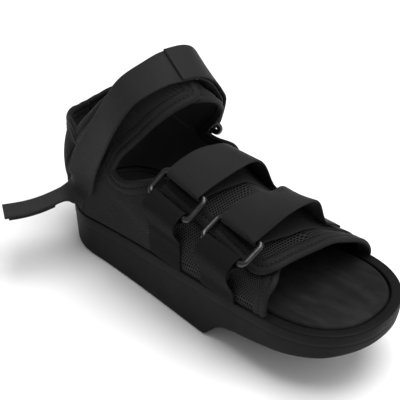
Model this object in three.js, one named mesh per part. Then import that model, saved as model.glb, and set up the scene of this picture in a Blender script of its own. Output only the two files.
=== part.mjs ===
// Forefoot offloading shoe for a right foot: a foam wedge sole, a mesh upper that closes with a flap,
// two forefoot straps through plastic rings, and an ankle strap with a free tail.
// Millimetres. X runs from heel to toe, Y from the outer to the inner side of the foot, Z up from the floor.
import * as THREE from "three";

// Sole
const SOLE = {
  length: 285,
  heelHalfWidth: 41,
  heelDepth: 42,
  toeHalfWidth: 50.5,
  toeDepth: 62,
  toePower: 2.25,
  heelTop: 32,
  topRise: 0.105,
  contactEnd: 163,
  underTaper: 1.2,
  bottomEdge: 2,
  ledgeDrop: 9,
  ledgeStep: 0.8,
  edgeRound: 1.5,
  rimWidth: 7.6,
  recess: 4,
};
// Height of the sole's underside over the floor, from the end of the ground contact to the toe
const UNDERSIDE = [
  { x: SOLE.contactEnd, z: 0 },
  { x: 168, z: 5 },
  { x: 175, z: 13.5 },
  { x: 183, z: 19 },
  { x: 193, z: 22.5 },
  { x: 225, z: 29 },
  { x: 262, z: 37.3 },
  { x: SOLE.length, z: 44 },
];
const FOOTBED = { groove: 1.3, crown: 0.8, edge: 2.5 };

// Foot form that the upper is shaped on: one row for each section, from the toe opening back to the heel.
// A section stands on the sole at base, or on the back of the heel at rise above the sole, and its top is at
// crest on the middle line. skew turns the section's foot towards the inner toe, as the ball of a foot is.
// square makes its shoulders full, and slope makes the inner one fall away sooner than the outer one.
const SECTIONS = [
  { base: 250, crestX: 251, crestZ: 83, halfWidth: 47, skew: 0.3, square: 0.62, slope: 1.5 },
  { base: 225, crestX: 226, crestZ: 86, halfWidth: 46.6, skew: 0.3, square: 0.66, slope: 1.6 },
  { base: 195, crestX: 196, crestZ: 92, halfWidth: 46, skew: 0.3, square: 0.75, slope: 1.8 },
  { base: 165, crestX: 166, crestZ: 99, halfWidth: 44.5, skew: 0.3, square: 0.8, slope: 1.8 },
  { base: 135, crestX: 138, crestZ: 106, halfWidth: 42.8, skew: 0.3, square: 0.8, slope: 1.7 },
  { base: 108, crestX: 122, crestZ: 112, halfWidth: 41.8, skew: 0.22, square: 0.8, slope: 1.4 },
  { base: 84, crestX: 118, crestZ: 128, halfWidth: 42, skew: 0.1, square: 0.8, slope: 1.1 },
  { base: 62, crestX: 117, crestZ: 142, halfWidth: 42.5, skew: 0.03, square: 0.82, slope: 1.1 },
  { base: 44, crestX: 112, crestZ: 153, halfWidth: 42.5, skew: 0, square: 0.85, slope: 1.16 },
  { base: 30, crestX: 101, crestZ: 161, halfWidth: 41, skew: 0, square: 0.88, slope: 1.2 },
  { base: 16, crestX: 88, crestZ: 170, halfWidth: 39, skew: 0, square: 0.92, slope: 1.16 },
  { base: 7, crestX: 79, crestZ: 180, halfWidth: 37, skew: 0, square: 0.95, slope: 1.08 },
  { rise: 25, crestX: 71, crestZ: 192, halfWidth: 35, skew: 0, square: 1, slope: 1 },
  { rise: 75, crestX: 60, crestZ: 200, halfWidth: 31, skew: 0, square: 1, slope: 1 },
];
const FORM = { inset: 3.8, topSkew: 0.3, heelBulge: 5, heelLean: 0.03, heelRise: 85, spread: 1.002 };

// Layers of the upper, as heights over the form
const CLEAR = 0.35;
const WALL = 2.4;
const FLAP_LIFT = 0.9;
const BEAD = { across: 5.6, thick: 3.2, sides: 6 };
const SEAM = 0.4;

// Named places on the upper, as seen from the side with the skew taken out
const VAMP = { frontX: 231, seamX: 130, topShare: 0.8 };
const FLAP = { frontX: 225.5, slant: 0.3, rearX: 125, overBar: 6, downTo: 1.4, downOver: 0.35 };
const FLAP_CORNER = { share: 0.16, cut: 0.4 };
const LIP = { height: 3, depth: 0.3, atCrest: 0.2, fade: 0.4 };
const COLLAR = [
  { x: 130, z: 100 },
  { x: 112, z: 96.5 },
  { x: 96, z: 90.5 },
  { x: 85, z: 90 },
  { x: 78, z: 94 },
  { x: 76, z: 99.5 },
];
const QUARTER = { frontSteps: 14, backSteps: 14, upSteps: 6, footRound: 0.002, seamOn: 0.025, beadOn: 0.25 };
const RIM = [
  { x: 9, z: 105 },
  { x: 18, z: 105.8 },
  { x: 29, z: 108.6 },
  { x: 53, z: 124 },
];
const WING_END = { frontX: 108, frontZ: 154.5, rearX: 93, rearZ: 158.5, round: 1 };
const WING = { backZ: 100.5, fade: 2.9, steps: 16 };
const CROSSING = { from: 0.5, over: 0.3 };
const BACK_ROUNDS = [0.02, 0.004];
// Places on each wing's front edge; the outer wing lies over the inner one
const WINGS = [
  { name: "near", side: -1, edge: [[83, 113.5], [98.5, 134]], stand: WALL + 5 * CLEAR },
  { name: "far", side: 1, edge: [[95.5, 126.5]], stand: 0 },
];

// Rings, the tabs that hold them and the straps through them. x is the section that they lie on, bar the
// height of the ring's lower bar, along the direction of its bars, bow the slack of the folded strap and
// roll its lean to one side. The lower bar stands further out than the upper one by tip.
const RING = { barRadius: 2.2, stand: 14, tip: 2.5, span: 13.5, spare: 1.6, corner: 4, steps: 4, sides: 8 };
const STRAP = { width: 33, thick: 1.6, footRound: 1.985, endRound: 1.62, ease: 0.3, early: 0.8, peak: 1.2 };
const BRIDGE = { height: 2.2, over: 0.2 };
const TAB = { narrower: 1, thick: 1.3, apart: 2.7, fold: 12, closed: 10, slope: 26, settle: 36, foot: 0.01 };
const FASTENINGS = [
  { name: "rear", x: 141, bar: 91.5, along: [-1, 0.1, 0.1], bow: 7, roll: 0 },
  { name: "front", x: 195, bar: 81.5, along: [-1, 0.1, 0.03], bow: 13, roll: 0.2 },
];

// Ankle strap: its middle line from the outer side over the ankle to the inner side, and the line across it
const ANKLE = { width: 30, thick: 1.7, x: 105, bar: 98, tabFoot: 68, stand: 8.2, play: 1.2 };
const FOLD = { from: 0.7, topGap: 2.1, ringGap: 3.4 };
const ANKLE_LINE = [
  { x: 36, y: -46, z: 71, across: [30, -11, 3] },
  { x: 46, y: -48, z: 97, across: [28, -6, 2] },
  { x: 58, y: -47, z: 120, across: [28, -5, 2] },
  { x: 70, y: -43.5, z: 141.5, across: [29, -6, 3] },
  { x: 82.5, y: -35.5, z: 162.5, across: [28, -8, 2] },
  { x: 92, y: -18, z: 173.2, across: [26, -9, -3] },
  { x: 96.5, y: -1, z: 176.8, across: [24, -10, -6] },
  { x: 98.5, y: 14.5, z: 175, across: [23, -8, -10.5] },
  { x: 96.5, y: 28, z: 162, across: [22, -3, -14] },
  { x: 92.6, y: 41.8, z: 138, across: [22, 0, -12] },
];
const TAIL = { bend: 11, length: 45, sag: 2.5, aim: [-0.3, -0.95, -0.03], across: [23.5, -19, 10] };
const PATCH = { start: 0.15, end: 0.93, width: 25, thick: 1.4 };

const FABRIC = { color: 0x17171a, roughness: 0.95, metalness: 0 };
const TAPE = { color: 0x1e1e21, roughness: 0.85, metalness: 0 };
const WEBBING = { color: 0x202024, roughness: 0.7, metalness: 0 };
const FOAM = { color: 0x141416, roughness: 0.8, metalness: 0 };
const PLASTIC = { color: 0x0a0a0b, roughness: 0.25, metalness: 0 };

const shoe = new THREE.Group();

// Small tools

const vec = (x, y, z) => new THREE.Vector3(x, y, z);
const mix = (a, b, k) => a + (b - a) * k;
const clamp01 = (k) => Math.min(1, Math.max(0, k));
const smooth = (k) => clamp01(k) ** 2 * (3 - 2 * clamp01(k));
const steps = (count) => Array.from({ length: count + 1 }, (_, i) => i / count);

// Value of one column of a table at a fractional row, on a smooth curve through the rows
function column(rows, read, at) {
  const last = rows.length - 1;
  const row = Math.min(last - 1, Math.max(0, Math.floor(at)));
  const k = at - row;
  const value = (i) => read(rows[Math.min(last, Math.max(0, i))]);
  const [p, q, r, n] = [-1, 0, 1, 2].map((i) => value(row + i));
  const slopeIn = (r - p) / 2;
  const slopeOut = (n - q) / 2;
  const k2 = k * k;
  const k3 = k2 * k;
  const bend = (k3 - 2 * k2 + k) * slopeIn + (k3 - k2) * slopeOut;
  return (2 * k3 - 3 * k2 + 1) * q + (3 * k2 - 2 * k3) * r + bend;
}

// Root of a rising or falling function between two ends
function root(f, low, high) {
  const sign = Math.sign(f(low));
  for (let i = 0; i < 40; i++) {
    const mid = (low + high) / 2;
    if (Math.sign(f(mid)) === sign) low = mid;
    else high = mid;
  }
  return (low + high) / 2;
}

// Closed geometry from points and triangles, turned so that its faces point out
function closedGeometry(points, triangles) {
  let volume = 0;
  for (const [a, b, c] of triangles) volume += points[a].dot(points[b].clone().cross(points[c]));
  const facing = volume > 0 ? triangles : triangles.map(([a, b, c]) => [a, c, b]);
  const geometry = new THREE.BufferGeometry().setFromPoints(points);
  geometry.setIndex(facing.flat());
  return geometry;
}

function addPiece(name, geometry, material) {
  const mesh = new THREE.Mesh(geometry, new THREE.MeshStandardMaterial(material));
  mesh.name = name;
  shoe.add(mesh);
}

// Plate between two faces: face(u, v, side) gives a point for u and v in 0 to 1, side 0 inner and 1 outer
function plate(countU, countV, face) {
  const points = [];
  for (const side of [0, 1]) {
    for (const u of steps(countU)) for (const v of steps(countV)) points.push(face(u, v, side));
  }
  const at = (side, i, j) => (side * (countU + 1) + i) * (countV + 1) + j;
  const triangles = [];
  const quad = (a, b, c, d) => triangles.push([a, b, c], [a, c, d]);
  for (let i = 0; i < countU; i++) {
    for (let j = 0; j < countV; j++) {
      quad(at(1, i, j), at(1, i + 1, j), at(1, i + 1, j + 1), at(1, i, j + 1));
      quad(at(0, i, j), at(0, i, j + 1), at(0, i + 1, j + 1), at(0, i + 1, j));
    }
    quad(at(0, i, 0), at(0, i + 1, 0), at(1, i + 1, 0), at(1, i, 0));
    quad(at(1, i, countV), at(1, i + 1, countV), at(0, i + 1, countV), at(0, i, countV));
  }
  for (let j = 0; j < countV; j++) {
    quad(at(1, 0, j), at(1, 0, j + 1), at(0, 0, j + 1), at(0, 0, j));
    quad(at(0, countU, j), at(0, countU, j + 1), at(1, countU, j + 1), at(1, countU, j));
  }
  return closedGeometry(points, triangles);
}

const soleTop = (x) => SOLE.heelTop + SOLE.topRise * x;

function aboveSole(point) {
  point.z = Math.max(point.z, soleTop(point.x) + CLEAR);
  return point;
}

// Bar of one section swept through frames, each a point and two directions; its ends are capped or joined
function sweep(frames, section, joined) {
  const place = (f, a, b) => f.point.clone().addScaledVector(f.across, a).addScaledVector(f.normal, b);
  const points = frames.flatMap((f) => section.map(([a, b]) => aboveSole(place(f, a, b))));
  const sides = section.length;
  const count = frames.length;
  const at = (i, j) => (i % count) * sides + (j % sides);
  const triangles = [];
  for (let i = 0; i < (joined ? count : count - 1); i++) {
    for (let j = 0; j < sides; j++) {
      triangles.push([at(i, j), at(i + 1, j), at(i + 1, j + 1)], [at(i, j), at(i + 1, j + 1), at(i, j + 1)]);
    }
  }
  if (!joined) {
    for (let j = 1; j < sides - 1; j++) {
      triangles.push([at(0, 0), at(0, j), at(0, j + 1)]);
      triangles.push([at(count - 1, 0), at(count - 1, j + 1), at(count - 1, j)]);
    }
  }
  return closedGeometry(points, triangles);
}

const roundSection = (radiusA, radiusB, sides) =>
  steps(sides)
    .slice(1)
    .map((k) => [radiusA * Math.cos(2 * Math.PI * k), radiusB * Math.sin(2 * Math.PI * k)]);
const flatSection = (width, thick) => [
  [-width / 2, -thick / 2],
  [width / 2, -thick / 2],
  [width / 2, thick / 2],
  [-width / 2, thick / 2],
];

// Flat band along a path of places, each with a point and the direction across the band
function ribbon(name, path, width, thick) {
  const last = path.length - 1;
  const frames = path.map((p, i) => {
    const along = path[Math.min(i + 1, last)].point.clone().sub(path[Math.max(i - 1, 0)].point).normalize();
    const across = p.across.clone().addScaledVector(along, -along.dot(p.across)).normalize();
    return { point: p.point, across, normal: along.clone().cross(across) };
  });
  addPiece(name, sweep(frames, flatSection(width, thick), false), WEBBING);
}

// Sole and footbed

function underside(x) {
  if (x <= SOLE.contactEnd) return 0;
  const row = UNDERSIDE.findIndex((r, i) => i + 1 === UNDERSIDE.length - 1 || x < UNDERSIDE[i + 1].x);
  const at = row + (x - UNDERSIDE[row].x) / (UNDERSIDE[row + 1].x - UNDERSIDE[row].x);
  return column(UNDERSIDE, (r) => r.z, at);
}

// Half width of the sole's outline at a place along it
function halfWidth(x) {
  const toeStart = SOLE.length - SOLE.toeDepth;
  if (x < SOLE.heelDepth) {
    const k = clamp01((SOLE.heelDepth - x) / SOLE.heelDepth);
    return SOLE.heelHalfWidth * Math.sqrt(1 - k * k);
  }
  if (x > toeStart) {
    const k = clamp01((x - toeStart) / SOLE.toeDepth);
    return SOLE.toeHalfWidth * (1 - k ** SOLE.toePower) ** (1 / SOLE.toePower);
  }
  const share = (x - SOLE.heelDepth) / (toeStart - SOLE.heelDepth);
  return mix(SOLE.heelHalfWidth, SOLE.toeHalfWidth, smooth(share));
}

// Places along the sole, close together where the outline or the underside turns
function stationsAlong(heelCount, sideCount, toeCount) {
  const toeStart = SOLE.length - SOLE.toeDepth;
  const quarter = (k) => Math.sin((k * Math.PI) / 2);
  const heel = steps(heelCount).map((k) => SOLE.heelDepth * (1 - quarter(1 - k)));
  const side = steps(sideCount).map((k) => mix(SOLE.heelDepth, SOLE.contactEnd, k));
  const rise = UNDERSIDE.slice(1, 5).map((r) => r.x);
  const toe = steps(toeCount).map((k) => toeStart + SOLE.toeDepth * quarter(k));
  return [...heel, ...side.slice(1), ...rise, mix(UNDERSIDE[4].x, toeStart, 0.5), ...toe];
}

// Points of the outline on one side, moved in by an inset: heel first, toe last
function outline(stations, inset) {
  return stations.map((x, i) => {
    const last = stations.length - 1;
    if (i === 0) return { x: inset, y: 0, station: x };
    if (i === last) return { x: x - inset, y: 0, station: x };
    const reach = 0.05;
    const slope = (halfWidth(x + reach) - halfWidth(x - reach)) / (2 * reach);
    const length = Math.hypot(1, slope);
    return { x: x + (inset * slope) / length, y: halfWidth(x) - inset / length, station: x };
  });
}

// Solid made of rings of the outline, one row each with an inset and a height, closed across by strips
function stackedRings(stations, rows) {
  const last = stations.length - 1;
  const points = [];
  const index = rows.map((row) => {
    const half = outline(stations, row.inset);
    const near = half.map((p) => points.push(vec(p.x, -p.y, row.height(p.x))) - 1);
    const far = half.map((p, i) => {
      if (i === 0 || i === last) return near[i];
      return points.push(vec(p.x, p.y, row.height(p.x))) - 1;
    });
    return { near, far };
  });
  const triangles = [];
  const face = (...ids) => {
    const own = ids.filter((id, i) => ids.indexOf(id) === i);
    for (let i = 1; i < own.length - 1; i++) triangles.push([own[0], own[i], own[i + 1]]);
  };
  for (let r = 0; r < rows.length - 1; r++) {
    const [low, high] = [index[r], index[r + 1]];
    for (let i = 0; i < last; i++) {
      face(low.near[i], low.near[i + 1], high.near[i + 1], high.near[i]);
      face(low.far[i + 1], low.far[i], high.far[i], high.far[i + 1]);
    }
  }
  const [first, top] = [index[0], index[rows.length - 1]];
  for (let i = 0; i < last; i++) {
    face(first.near[i], first.far[i], first.far[i + 1], first.near[i + 1]);
    face(top.near[i + 1], top.far[i + 1], top.far[i], top.near[i]);
  }
  return closedGeometry(points, triangles);
}

function addSole() {
  const stations = stationsAlong(7, 7, 8);
  const floor = (x) => soleTop(x) - SOLE.recess;
  const ledge = (x) => soleTop(x) - SOLE.ledgeDrop;
  const rows = [
    { inset: SOLE.underTaper + SOLE.bottomEdge, height: underside },
    { inset: SOLE.underTaper, height: (x) => underside(x) + SOLE.bottomEdge },
    { inset: SOLE.ledgeStep, height: (x) => ledge(x) - SOLE.ledgeStep },
    { inset: 0, height: ledge },
    { inset: 0, height: (x) => soleTop(x) - SOLE.edgeRound },
    { inset: SOLE.edgeRound, height: soleTop },
    { inset: SOLE.rimWidth, height: soleTop },
    { inset: SOLE.rimWidth, height: floor },
  ];
  addPiece("sole", stackedRings(stations, rows), FOAM);
  const edge = SOLE.rimWidth + FOOTBED.groove;
  const bed = [
    { inset: edge, height: (x) => floor(x) + CLEAR },
    { inset: edge, height: (x) => soleTop(x) - FOOTBED.edge / 2 },
    { inset: edge + FOOTBED.edge, height: (x) => soleTop(x) + FOOTBED.crown },
  ];
  addPiece("footbed", stackedRings(stations, bed), TAPE);
}

// Foot form

// Line that the sections stand on: along the sole's edge from toe to heel, then up the back of the heel
const baseLine = (() => {
  const half = outline(stationsAlong(24, 60, 24), FORM.inset).reverse();
  let reach = 0;
  return half.map((p, i) => {
    if (i > 0) reach += Math.hypot(p.x - half[i - 1].x, p.y - half[i - 1].y);
    return { ...p, reach };
  });
})();
const heelReach = baseLine[baseLine.length - 1].reach;

function alongBase(key, value, wanted) {
  const i = Math.max(1, baseLine.findIndex((p) => (key === "x" ? p.x <= value : p.reach >= value)));
  const [p, q] = [baseLine[i - 1], baseLine[i]];
  return mix(p[wanted], q[wanted], (value - p[key]) / (q[key] - p[key]));
}

const rowReach = (row) => (row.rise === undefined ? alongBase("x", row.base, "reach") : heelReach + row.rise);

// Foot of a section: its place on the middle plane, its height and its half width on the sole's edge
function sectionFoot(at) {
  const reach = column(SECTIONS, rowReach, at);
  const rise = Math.max(0, reach - heelReach);
  if (rise === 0) {
    const x = alongBase("reach", reach, "x");
    return { x, z: soleTop(x) + CLEAR, half: alongBase("reach", reach, "y") };
  }
  const bulge = FORM.heelBulge * Math.sin((Math.PI * rise) / FORM.heelRise);
  const x = FORM.inset - bulge + FORM.heelLean * rise;
  return { x, z: soleTop(FORM.inset) + CLEAR + rise, half: 0 };
}

const power = (v, p) => Math.sign(v) * Math.abs(v) ** p;
const edgeHalf = (x) => (x > FORM.inset ? alongBase("x", x, "y") : 0);

// Point on the form: at is the section, round runs 0 to 1 up the outer side and 1 to 2 down the inner side
function onForm(at, round) {
  const foot = sectionFoot(at);
  const crest = { x: column(SECTIONS, (r) => r.crestX, at), z: column(SECTIONS, (r) => r.crestZ, at) };
  const widest = Math.max(column(SECTIONS, (r) => r.halfWidth, at), foot.half * FORM.spread);
  const side = round <= 1 ? -1 : 1;
  const climb = round <= 1 ? round : 2 - round;
  const slope = side > 0 ? column(SECTIONS, (r) => r.slope, at) : 1;
  const square = column(SECTIONS, (r) => r.square, at) * slope;
  const start = -Math.acos((foot.half / widest) ** (1 / square));
  const angle = start + climb * (Math.PI / 2 - start);
  const sine = (a) => power(Math.sin(a), square);
  const rise = (sine(angle) - sine(start)) / (1 - sine(start));
  let y = side * widest * power(Math.cos(angle), square);
  const footSkew = column(SECTIONS, (r) => r.skew, at);
  if (foot.half > 0) {
    const turned = edgeHalf(foot.x + footSkew * side * foot.half);
    y *= mix(turned / foot.half, 1, clamp01(rise));
  }
  const skew = mix(footSkew, FORM.topSkew, clamp01(rise));
  const footZ = foot.z + SOLE.topRise * footSkew * y;
  return vec(mix(foot.x, crest.x, rise) + skew * y, y, mix(footZ, crest.z, rise));
}

// Frame on the form at a height over it: back runs to the heel, over runs from the outer to the inner side
function frameOnForm(at, round, height) {
  const [stepAt, stepRound] = [0.02, 0.004];
  const over = onForm(at, round + stepRound).sub(onForm(at, round - stepRound)).normalize();
  const back = onForm(at + stepAt, round).sub(onForm(at - stepAt, round)).normalize();
  const normal = over.clone().cross(back).normalize();
  const across = normal.clone().cross(over).normalize();
  return { point: onForm(at, round).addScaledVector(normal, height), over, across, normal };
}

const lift = (at, round, height) => aboveSole(frameOnForm(at, round, height).point);

// Section whose line in the side view passes through a place, and how far round that place is
function locate(x, z) {
  const line = (at) => {
    const foot = sectionFoot(at);
    const crest = { x: column(SECTIONS, (r) => r.crestX, at), z: column(SECTIONS, (r) => r.crestZ, at) };
    return { foot, crest };
  };
  const side = (at) => {
    const { foot, crest } = line(at);
    return (crest.x - foot.x) * (z - foot.z) - (crest.z - foot.z) * (x - foot.x);
  };
  const at = root(side, 0, SECTIONS.length - 1);
  return { at, round: roundAt(at, z) };
}

// How far round a section reaches a height on the outer side
const roundAt = (at, z) => root((round) => onForm(at, round).z - z, 0, 1);
const sectionAt = (x) => root((at) => column(SECTIONS, (r) => r.crestX, at) - x, 0, SECTIONS.length - 1);

// Place a length further round a section, measured on the form
function furtherRound(at, round, length) {
  const paces = 8;
  const reach = 0.01;
  let place = round;
  for (let i = 0; i < paces; i++) {
    const speed = onForm(at, place + reach).distanceTo(onForm(at, place - reach)) / (2 * reach);
    place += length / paces / speed;
  }
  return place;
}

// Smooth route through a few places, each with a section and a place round it
function route(places) {
  const curve = new THREE.CatmullRomCurve3(places.map((p) => vec(p.at, p.round * 10, 0)));
  return (k) => {
    const p = curve.getPoint(k);
    return { at: p.x, round: p.y / 10 };
  };
}

// Padded tape along an edge: places along it, the height of its middle, and the side that it lies on
function binding(name, places, height, outward) {
  const points = places.map((p) => lift(p.at, p.round, height(p)));
  const frames = places.map((p, i) => {
    const normal = frameOnForm(p.at, p.round, 0).normal;
    const ahead = points[Math.min(i + 1, points.length - 1)];
    const along = ahead.clone().sub(points[Math.max(i - 1, 0)]).normalize();
    const across = along.clone().cross(normal).normalize();
    const point = points[i].clone().addScaledVector(across, outward * (BEAD.across / 2 + CLEAR));
    return { point, across, normal };
  });
  addPiece(name, sweep(frames, roundSection(BEAD.across / 2, BEAD.thick / 2, BEAD.sides), false), TAPE);
}

// Upper of the forefoot

const flapFront = sectionAt(FLAP.frontX);
const flapRear = sectionAt(FLAP.rearX);

// The ring bars lie on one line down the outer side, and the flap's edge runs along it
function barRound(at) {
  const [rear, front] = FASTENINGS;
  const rearAt = sectionAt(rear.x);
  const k = (at - rearAt) / (sectionAt(front.x) - rearAt);
  return roundAt(at, mix(rear.bar, front.bar, k));
}

const flapNear = (at) => furtherRound(at, barRound(at), FLAP.overBar);
const flapHeight = (round) => (WALL + FLAP_LIFT) * smooth((FLAP.downTo - round) / FLAP.downOver);

// The flap's front edge stands up a little, most at its free corner
function flapLip(at, round) {
  const nearness = smooth(1 - (at - flapFront) / LIP.depth);
  return LIP.height * nearness * mix(LIP.atCrest, 1, smooth((1 - round) / LIP.fade));
}

const flapStand = (at, round) => flapHeight(round) + flapLip(at, round);

// Place on the flap: u from its free edge on the outer side to the sole on the inner side, v front to rear
function flapPlace(u, v) {
  const corner = clamp01(1 - u / FLAP_CORNER.share);
  const cut = FLAP_CORNER.cut * (1 - Math.sqrt(Math.max(0, 1 - corner * corner)));
  const at = mix(flapFront + FLAP.slant * u + cut, flapRear, v);
  return { at, round: mix(flapNear(at), 2, u) };
}

function addVamp() {
  const front = sectionAt(VAMP.frontX);
  const seam = sectionAt(VAMP.seamX);
  const place = (u, v) => ({ at: mix(front, seam, u), round: VAMP.topShare * v });
  addPiece(
    "near_vamp",
    plate(20, 8, (u, v, side) => lift(place(u, v).at, place(u, v).round, side * WALL)),
    FABRIC,
  );
  binding("toe_binding", steps(10).map((v) => place(0, v)), () => WALL / 2, 1);
  addPiece(
    "vamp_flap",
    plate(22, 14, (u, v, side) => {
      const { at, round } = flapPlace(u, v);
      return lift(at, round, flapStand(at, round) + side * WALL);
    }),
    FABRIC,
  );
  const free = steps(12).map((k) => flapPlace(0, 1 - k));
  const fore = steps(24).slice(1).map((k) => flapPlace(k, 0));
  const edge = [...free, ...fore];
  binding("flap_binding", edge, (p) => flapStand(p.at, p.round) + WALL / 2, 1);
}

// Heel and ankle walls

const heelAt = root((at) => sectionFoot(at).z - WING.backZ + 2 * CLEAR, 9, SECTIONS.length - 1);
const collarPlaces = COLLAR.map((p) => locate(p.x, p.z));
const wingRoot = collarPlaces[COLLAR.length - 1];

// Height of the quarter's top edge: the collar in front of the wing, then the seam to the wing
function quarterTop(at) {
  if (at >= wingRoot.at) {
    return mix(COLLAR[COLLAR.length - 1].z, WING.backZ, (at - wingRoot.at) / (heelAt - wingRoot.at));
  }
  const row = Math.max(0, collarPlaces.findIndex((p) => p.at > at) - 1);
  const k = (at - collarPlaces[row].at) / (collarPlaces[row + 1].at - collarPlaces[row].at);
  return column(COLLAR, (r) => r.z, row + k);
}

const collarRound = (at, gap) => roundAt(at, quarterTop(at) + gap);
const onSide = (row, climb) => (row.side < 0 ? climb : 2 - climb);
// The outer quarter meets the vamp at a seam, and the inner one meets the flap's rear edge
const frontSeam = (row) => (row.side < 0 ? sectionAt(VAMP.seamX) : flapRear);

function addQuarter(row) {
  const seam = frontSeam(row);
  const turnTo = QUARTER.frontSteps / (QUARTER.frontSteps + QUARTER.backSteps);
  const along = (u) => {
    if (u <= turnTo) return mix(seam + QUARTER.seamOn, wingRoot.at, u / turnTo);
    return mix(wingRoot.at, heelAt, (u - turnTo) / (1 - turnTo));
  };
  addPiece(
    `${row.name}_quarter`,
    plate(QUARTER.frontSteps + QUARTER.backSteps, QUARTER.upSteps, (u, v, side) => {
      const at = along(u);
      const climb = mix(QUARTER.footRound, collarRound(at, 0), v);
      return lift(at, onSide(row, climb), side * WALL);
    }),
    FABRIC,
  );
}

// Wing: u runs from its front edge to its rim, v from its seam on the quarter to its end over the ankle
function wingSides(row) {
  const front = { at: locate(WING_END.frontX, WING_END.frontZ).at, round: WING_END.round };
  const rear = { at: locate(WING_END.rearX, WING_END.rearZ).at, round: WING_END.round };
  const foot = (u) => {
    const at = mix(wingRoot.at, heelAt, u);
    return { at, round: collarRound(at, SEAM) };
  };
  return {
    foot,
    end: route([front, rear]),
    front: route([foot(0), ...row.edge.map((p) => locate(...p)), front]),
    rear: route([foot(1), ...RIM.map((p) => locate(p.x, p.z)), rear]),
  };
}

function wingPlace({ foot, front, rear }, u, v) {
  const blend = (key) => {
    const seamCurve = foot(u)[key] - mix(foot(0)[key], foot(1)[key], u);
    return mix(front(v)[key], rear(v)[key], u) + (1 - v) ** WING.fade * seamCurve;
  };
  return { at: blend("at"), round: blend("round") };
}

function addWing(row) {
  const sides = wingSides(row);
  const height = (climb) => row.stand * smooth((climb - CROSSING.from) / CROSSING.over);
  addPiece(
    `${row.name}_wing`,
    plate(QUARTER.backSteps, WING.steps, (u, v, side) => {
      const place = wingPlace(sides, u, v);
      return lift(place.at, onSide(row, place.round), height(place.round) + side * WALL);
    }),
    FABRIC,
  );
  const seam = frontSeam(row) + QUARTER.beadOn;
  const collar = steps(12).map((k) => {
    const at = mix(seam, wingRoot.at, k);
    return { at, round: collarRound(at, 0) };
  });
  const edge = [
    ...collar,
    ...steps(WING.steps).slice(1).map(sides.front),
    ...steps(4).slice(1).map(sides.end),
    ...steps(WING.steps).slice(0, -1).reverse().map(sides.rear),
    ...BACK_ROUNDS.map((round) => ({ at: heelAt, round })),
  ];
  const places = edge.map((p) => ({ at: p.at, round: onSide(row, p.round) }));
  binding(`${row.name}_binding`, places, (p) => height(onSide(row, p.round)) + WALL / 2, -row.side);
}

// Rings, tabs and straps

// Ring between a lower and an upper frame on one side of the shoe
function addRing(name, lower, upper, width) {
  const middle = lower.point.clone().add(upper.point).multiplyScalar(0.5);
  const rise = upper.point.clone().sub(lower.point);
  const halfHeight = rise.length() / 2;
  const halfLength = width / 2 + RING.spare + RING.barRadius;
  rise.normalize();
  const along = lower.across.clone().addScaledVector(rise, -lower.across.dot(rise)).normalize();
  const normal = along.clone().cross(rise);
  if (normal.dot(lower.normal) < 0) normal.negate();
  const corners = [
    [1, 1, 0],
    [-1, 1, 1],
    [-1, -1, 2],
    [1, -1, 3],
  ];
  const frames = corners.flatMap(([sideA, sideB, turn]) =>
    steps(RING.steps).map((k) => {
      const angle = (Math.PI / 2) * (turn + k);
      const out = along.clone().multiplyScalar(Math.cos(angle)).addScaledVector(rise, Math.sin(angle));
      const point = middle.clone().addScaledVector(along, sideA * (halfLength - RING.corner));
      point.addScaledVector(rise, sideB * (halfHeight - RING.corner)).addScaledVector(out, RING.corner);
      return { point, across: out, normal };
    }),
  );
  addPiece(name, sweep(frames, roundSection(RING.barRadius, RING.barRadius, RING.sides), true), PLASTIC);
  return { lower: lower.point, upper: upper.point, along, rise, normal };
}

// Half turn of a band round one of the ring's bars, from its outer face to its inner face
function turnRound(ring, bar, radius, towards) {
  return steps(8).map((k) => {
    const point = bar.clone().addScaledVector(ring.normal, radius * Math.cos(Math.PI * k));
    point.addScaledVector(ring.rise, towards * radius * Math.sin(Math.PI * k));
    return { point, across: ring.along };
  });
}

// Tab: up from its sewn end, round the ring's lower bar and back down inside
function addTab(name, ring, path, length, size) {
  const radius = RING.barRadius + CLEAR + TAB.thick / 2;
  const seat = WALL + CLEAR + TAB.thick / 2;
  const double = seat + TAB.thick + CLEAR;
  const outer = (below) => {
    const slope = mix(size.stand + radius, double, smooth(below / TAB.slope));
    return mix(slope, seat, smooth((below - TAB.slope) / (TAB.settle - TAB.slope)));
  };
  const gap = (below) => mix(2 * radius, TAB.apart, smooth(below / TAB.closed));
  const layer = (below, apart) => {
    const frame = path(below, outer(below) - apart);
    const hung = ring.lower.clone().addScaledVector(ring.rise, -below);
    hung.addScaledVector(ring.normal, radius - apart);
    const pulled = smooth(1 - below / TAB.slope);
    return { point: frame.point.lerp(hung, pulled), across: frame.across.clone().lerp(ring.along, pulled) };
  };
  const band = [
    ...steps(12).slice(0, -1).map((k) => layer(length * (1 - k), 0)),
    ...turnRound(ring, ring.lower, radius, 1),
    ...steps(4).slice(1).map((k) => layer(TAB.fold * k, gap(TAB.fold * k))),
  ];
  ribbon(name, band, size.width - TAB.narrower, TAB.thick);
}

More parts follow.
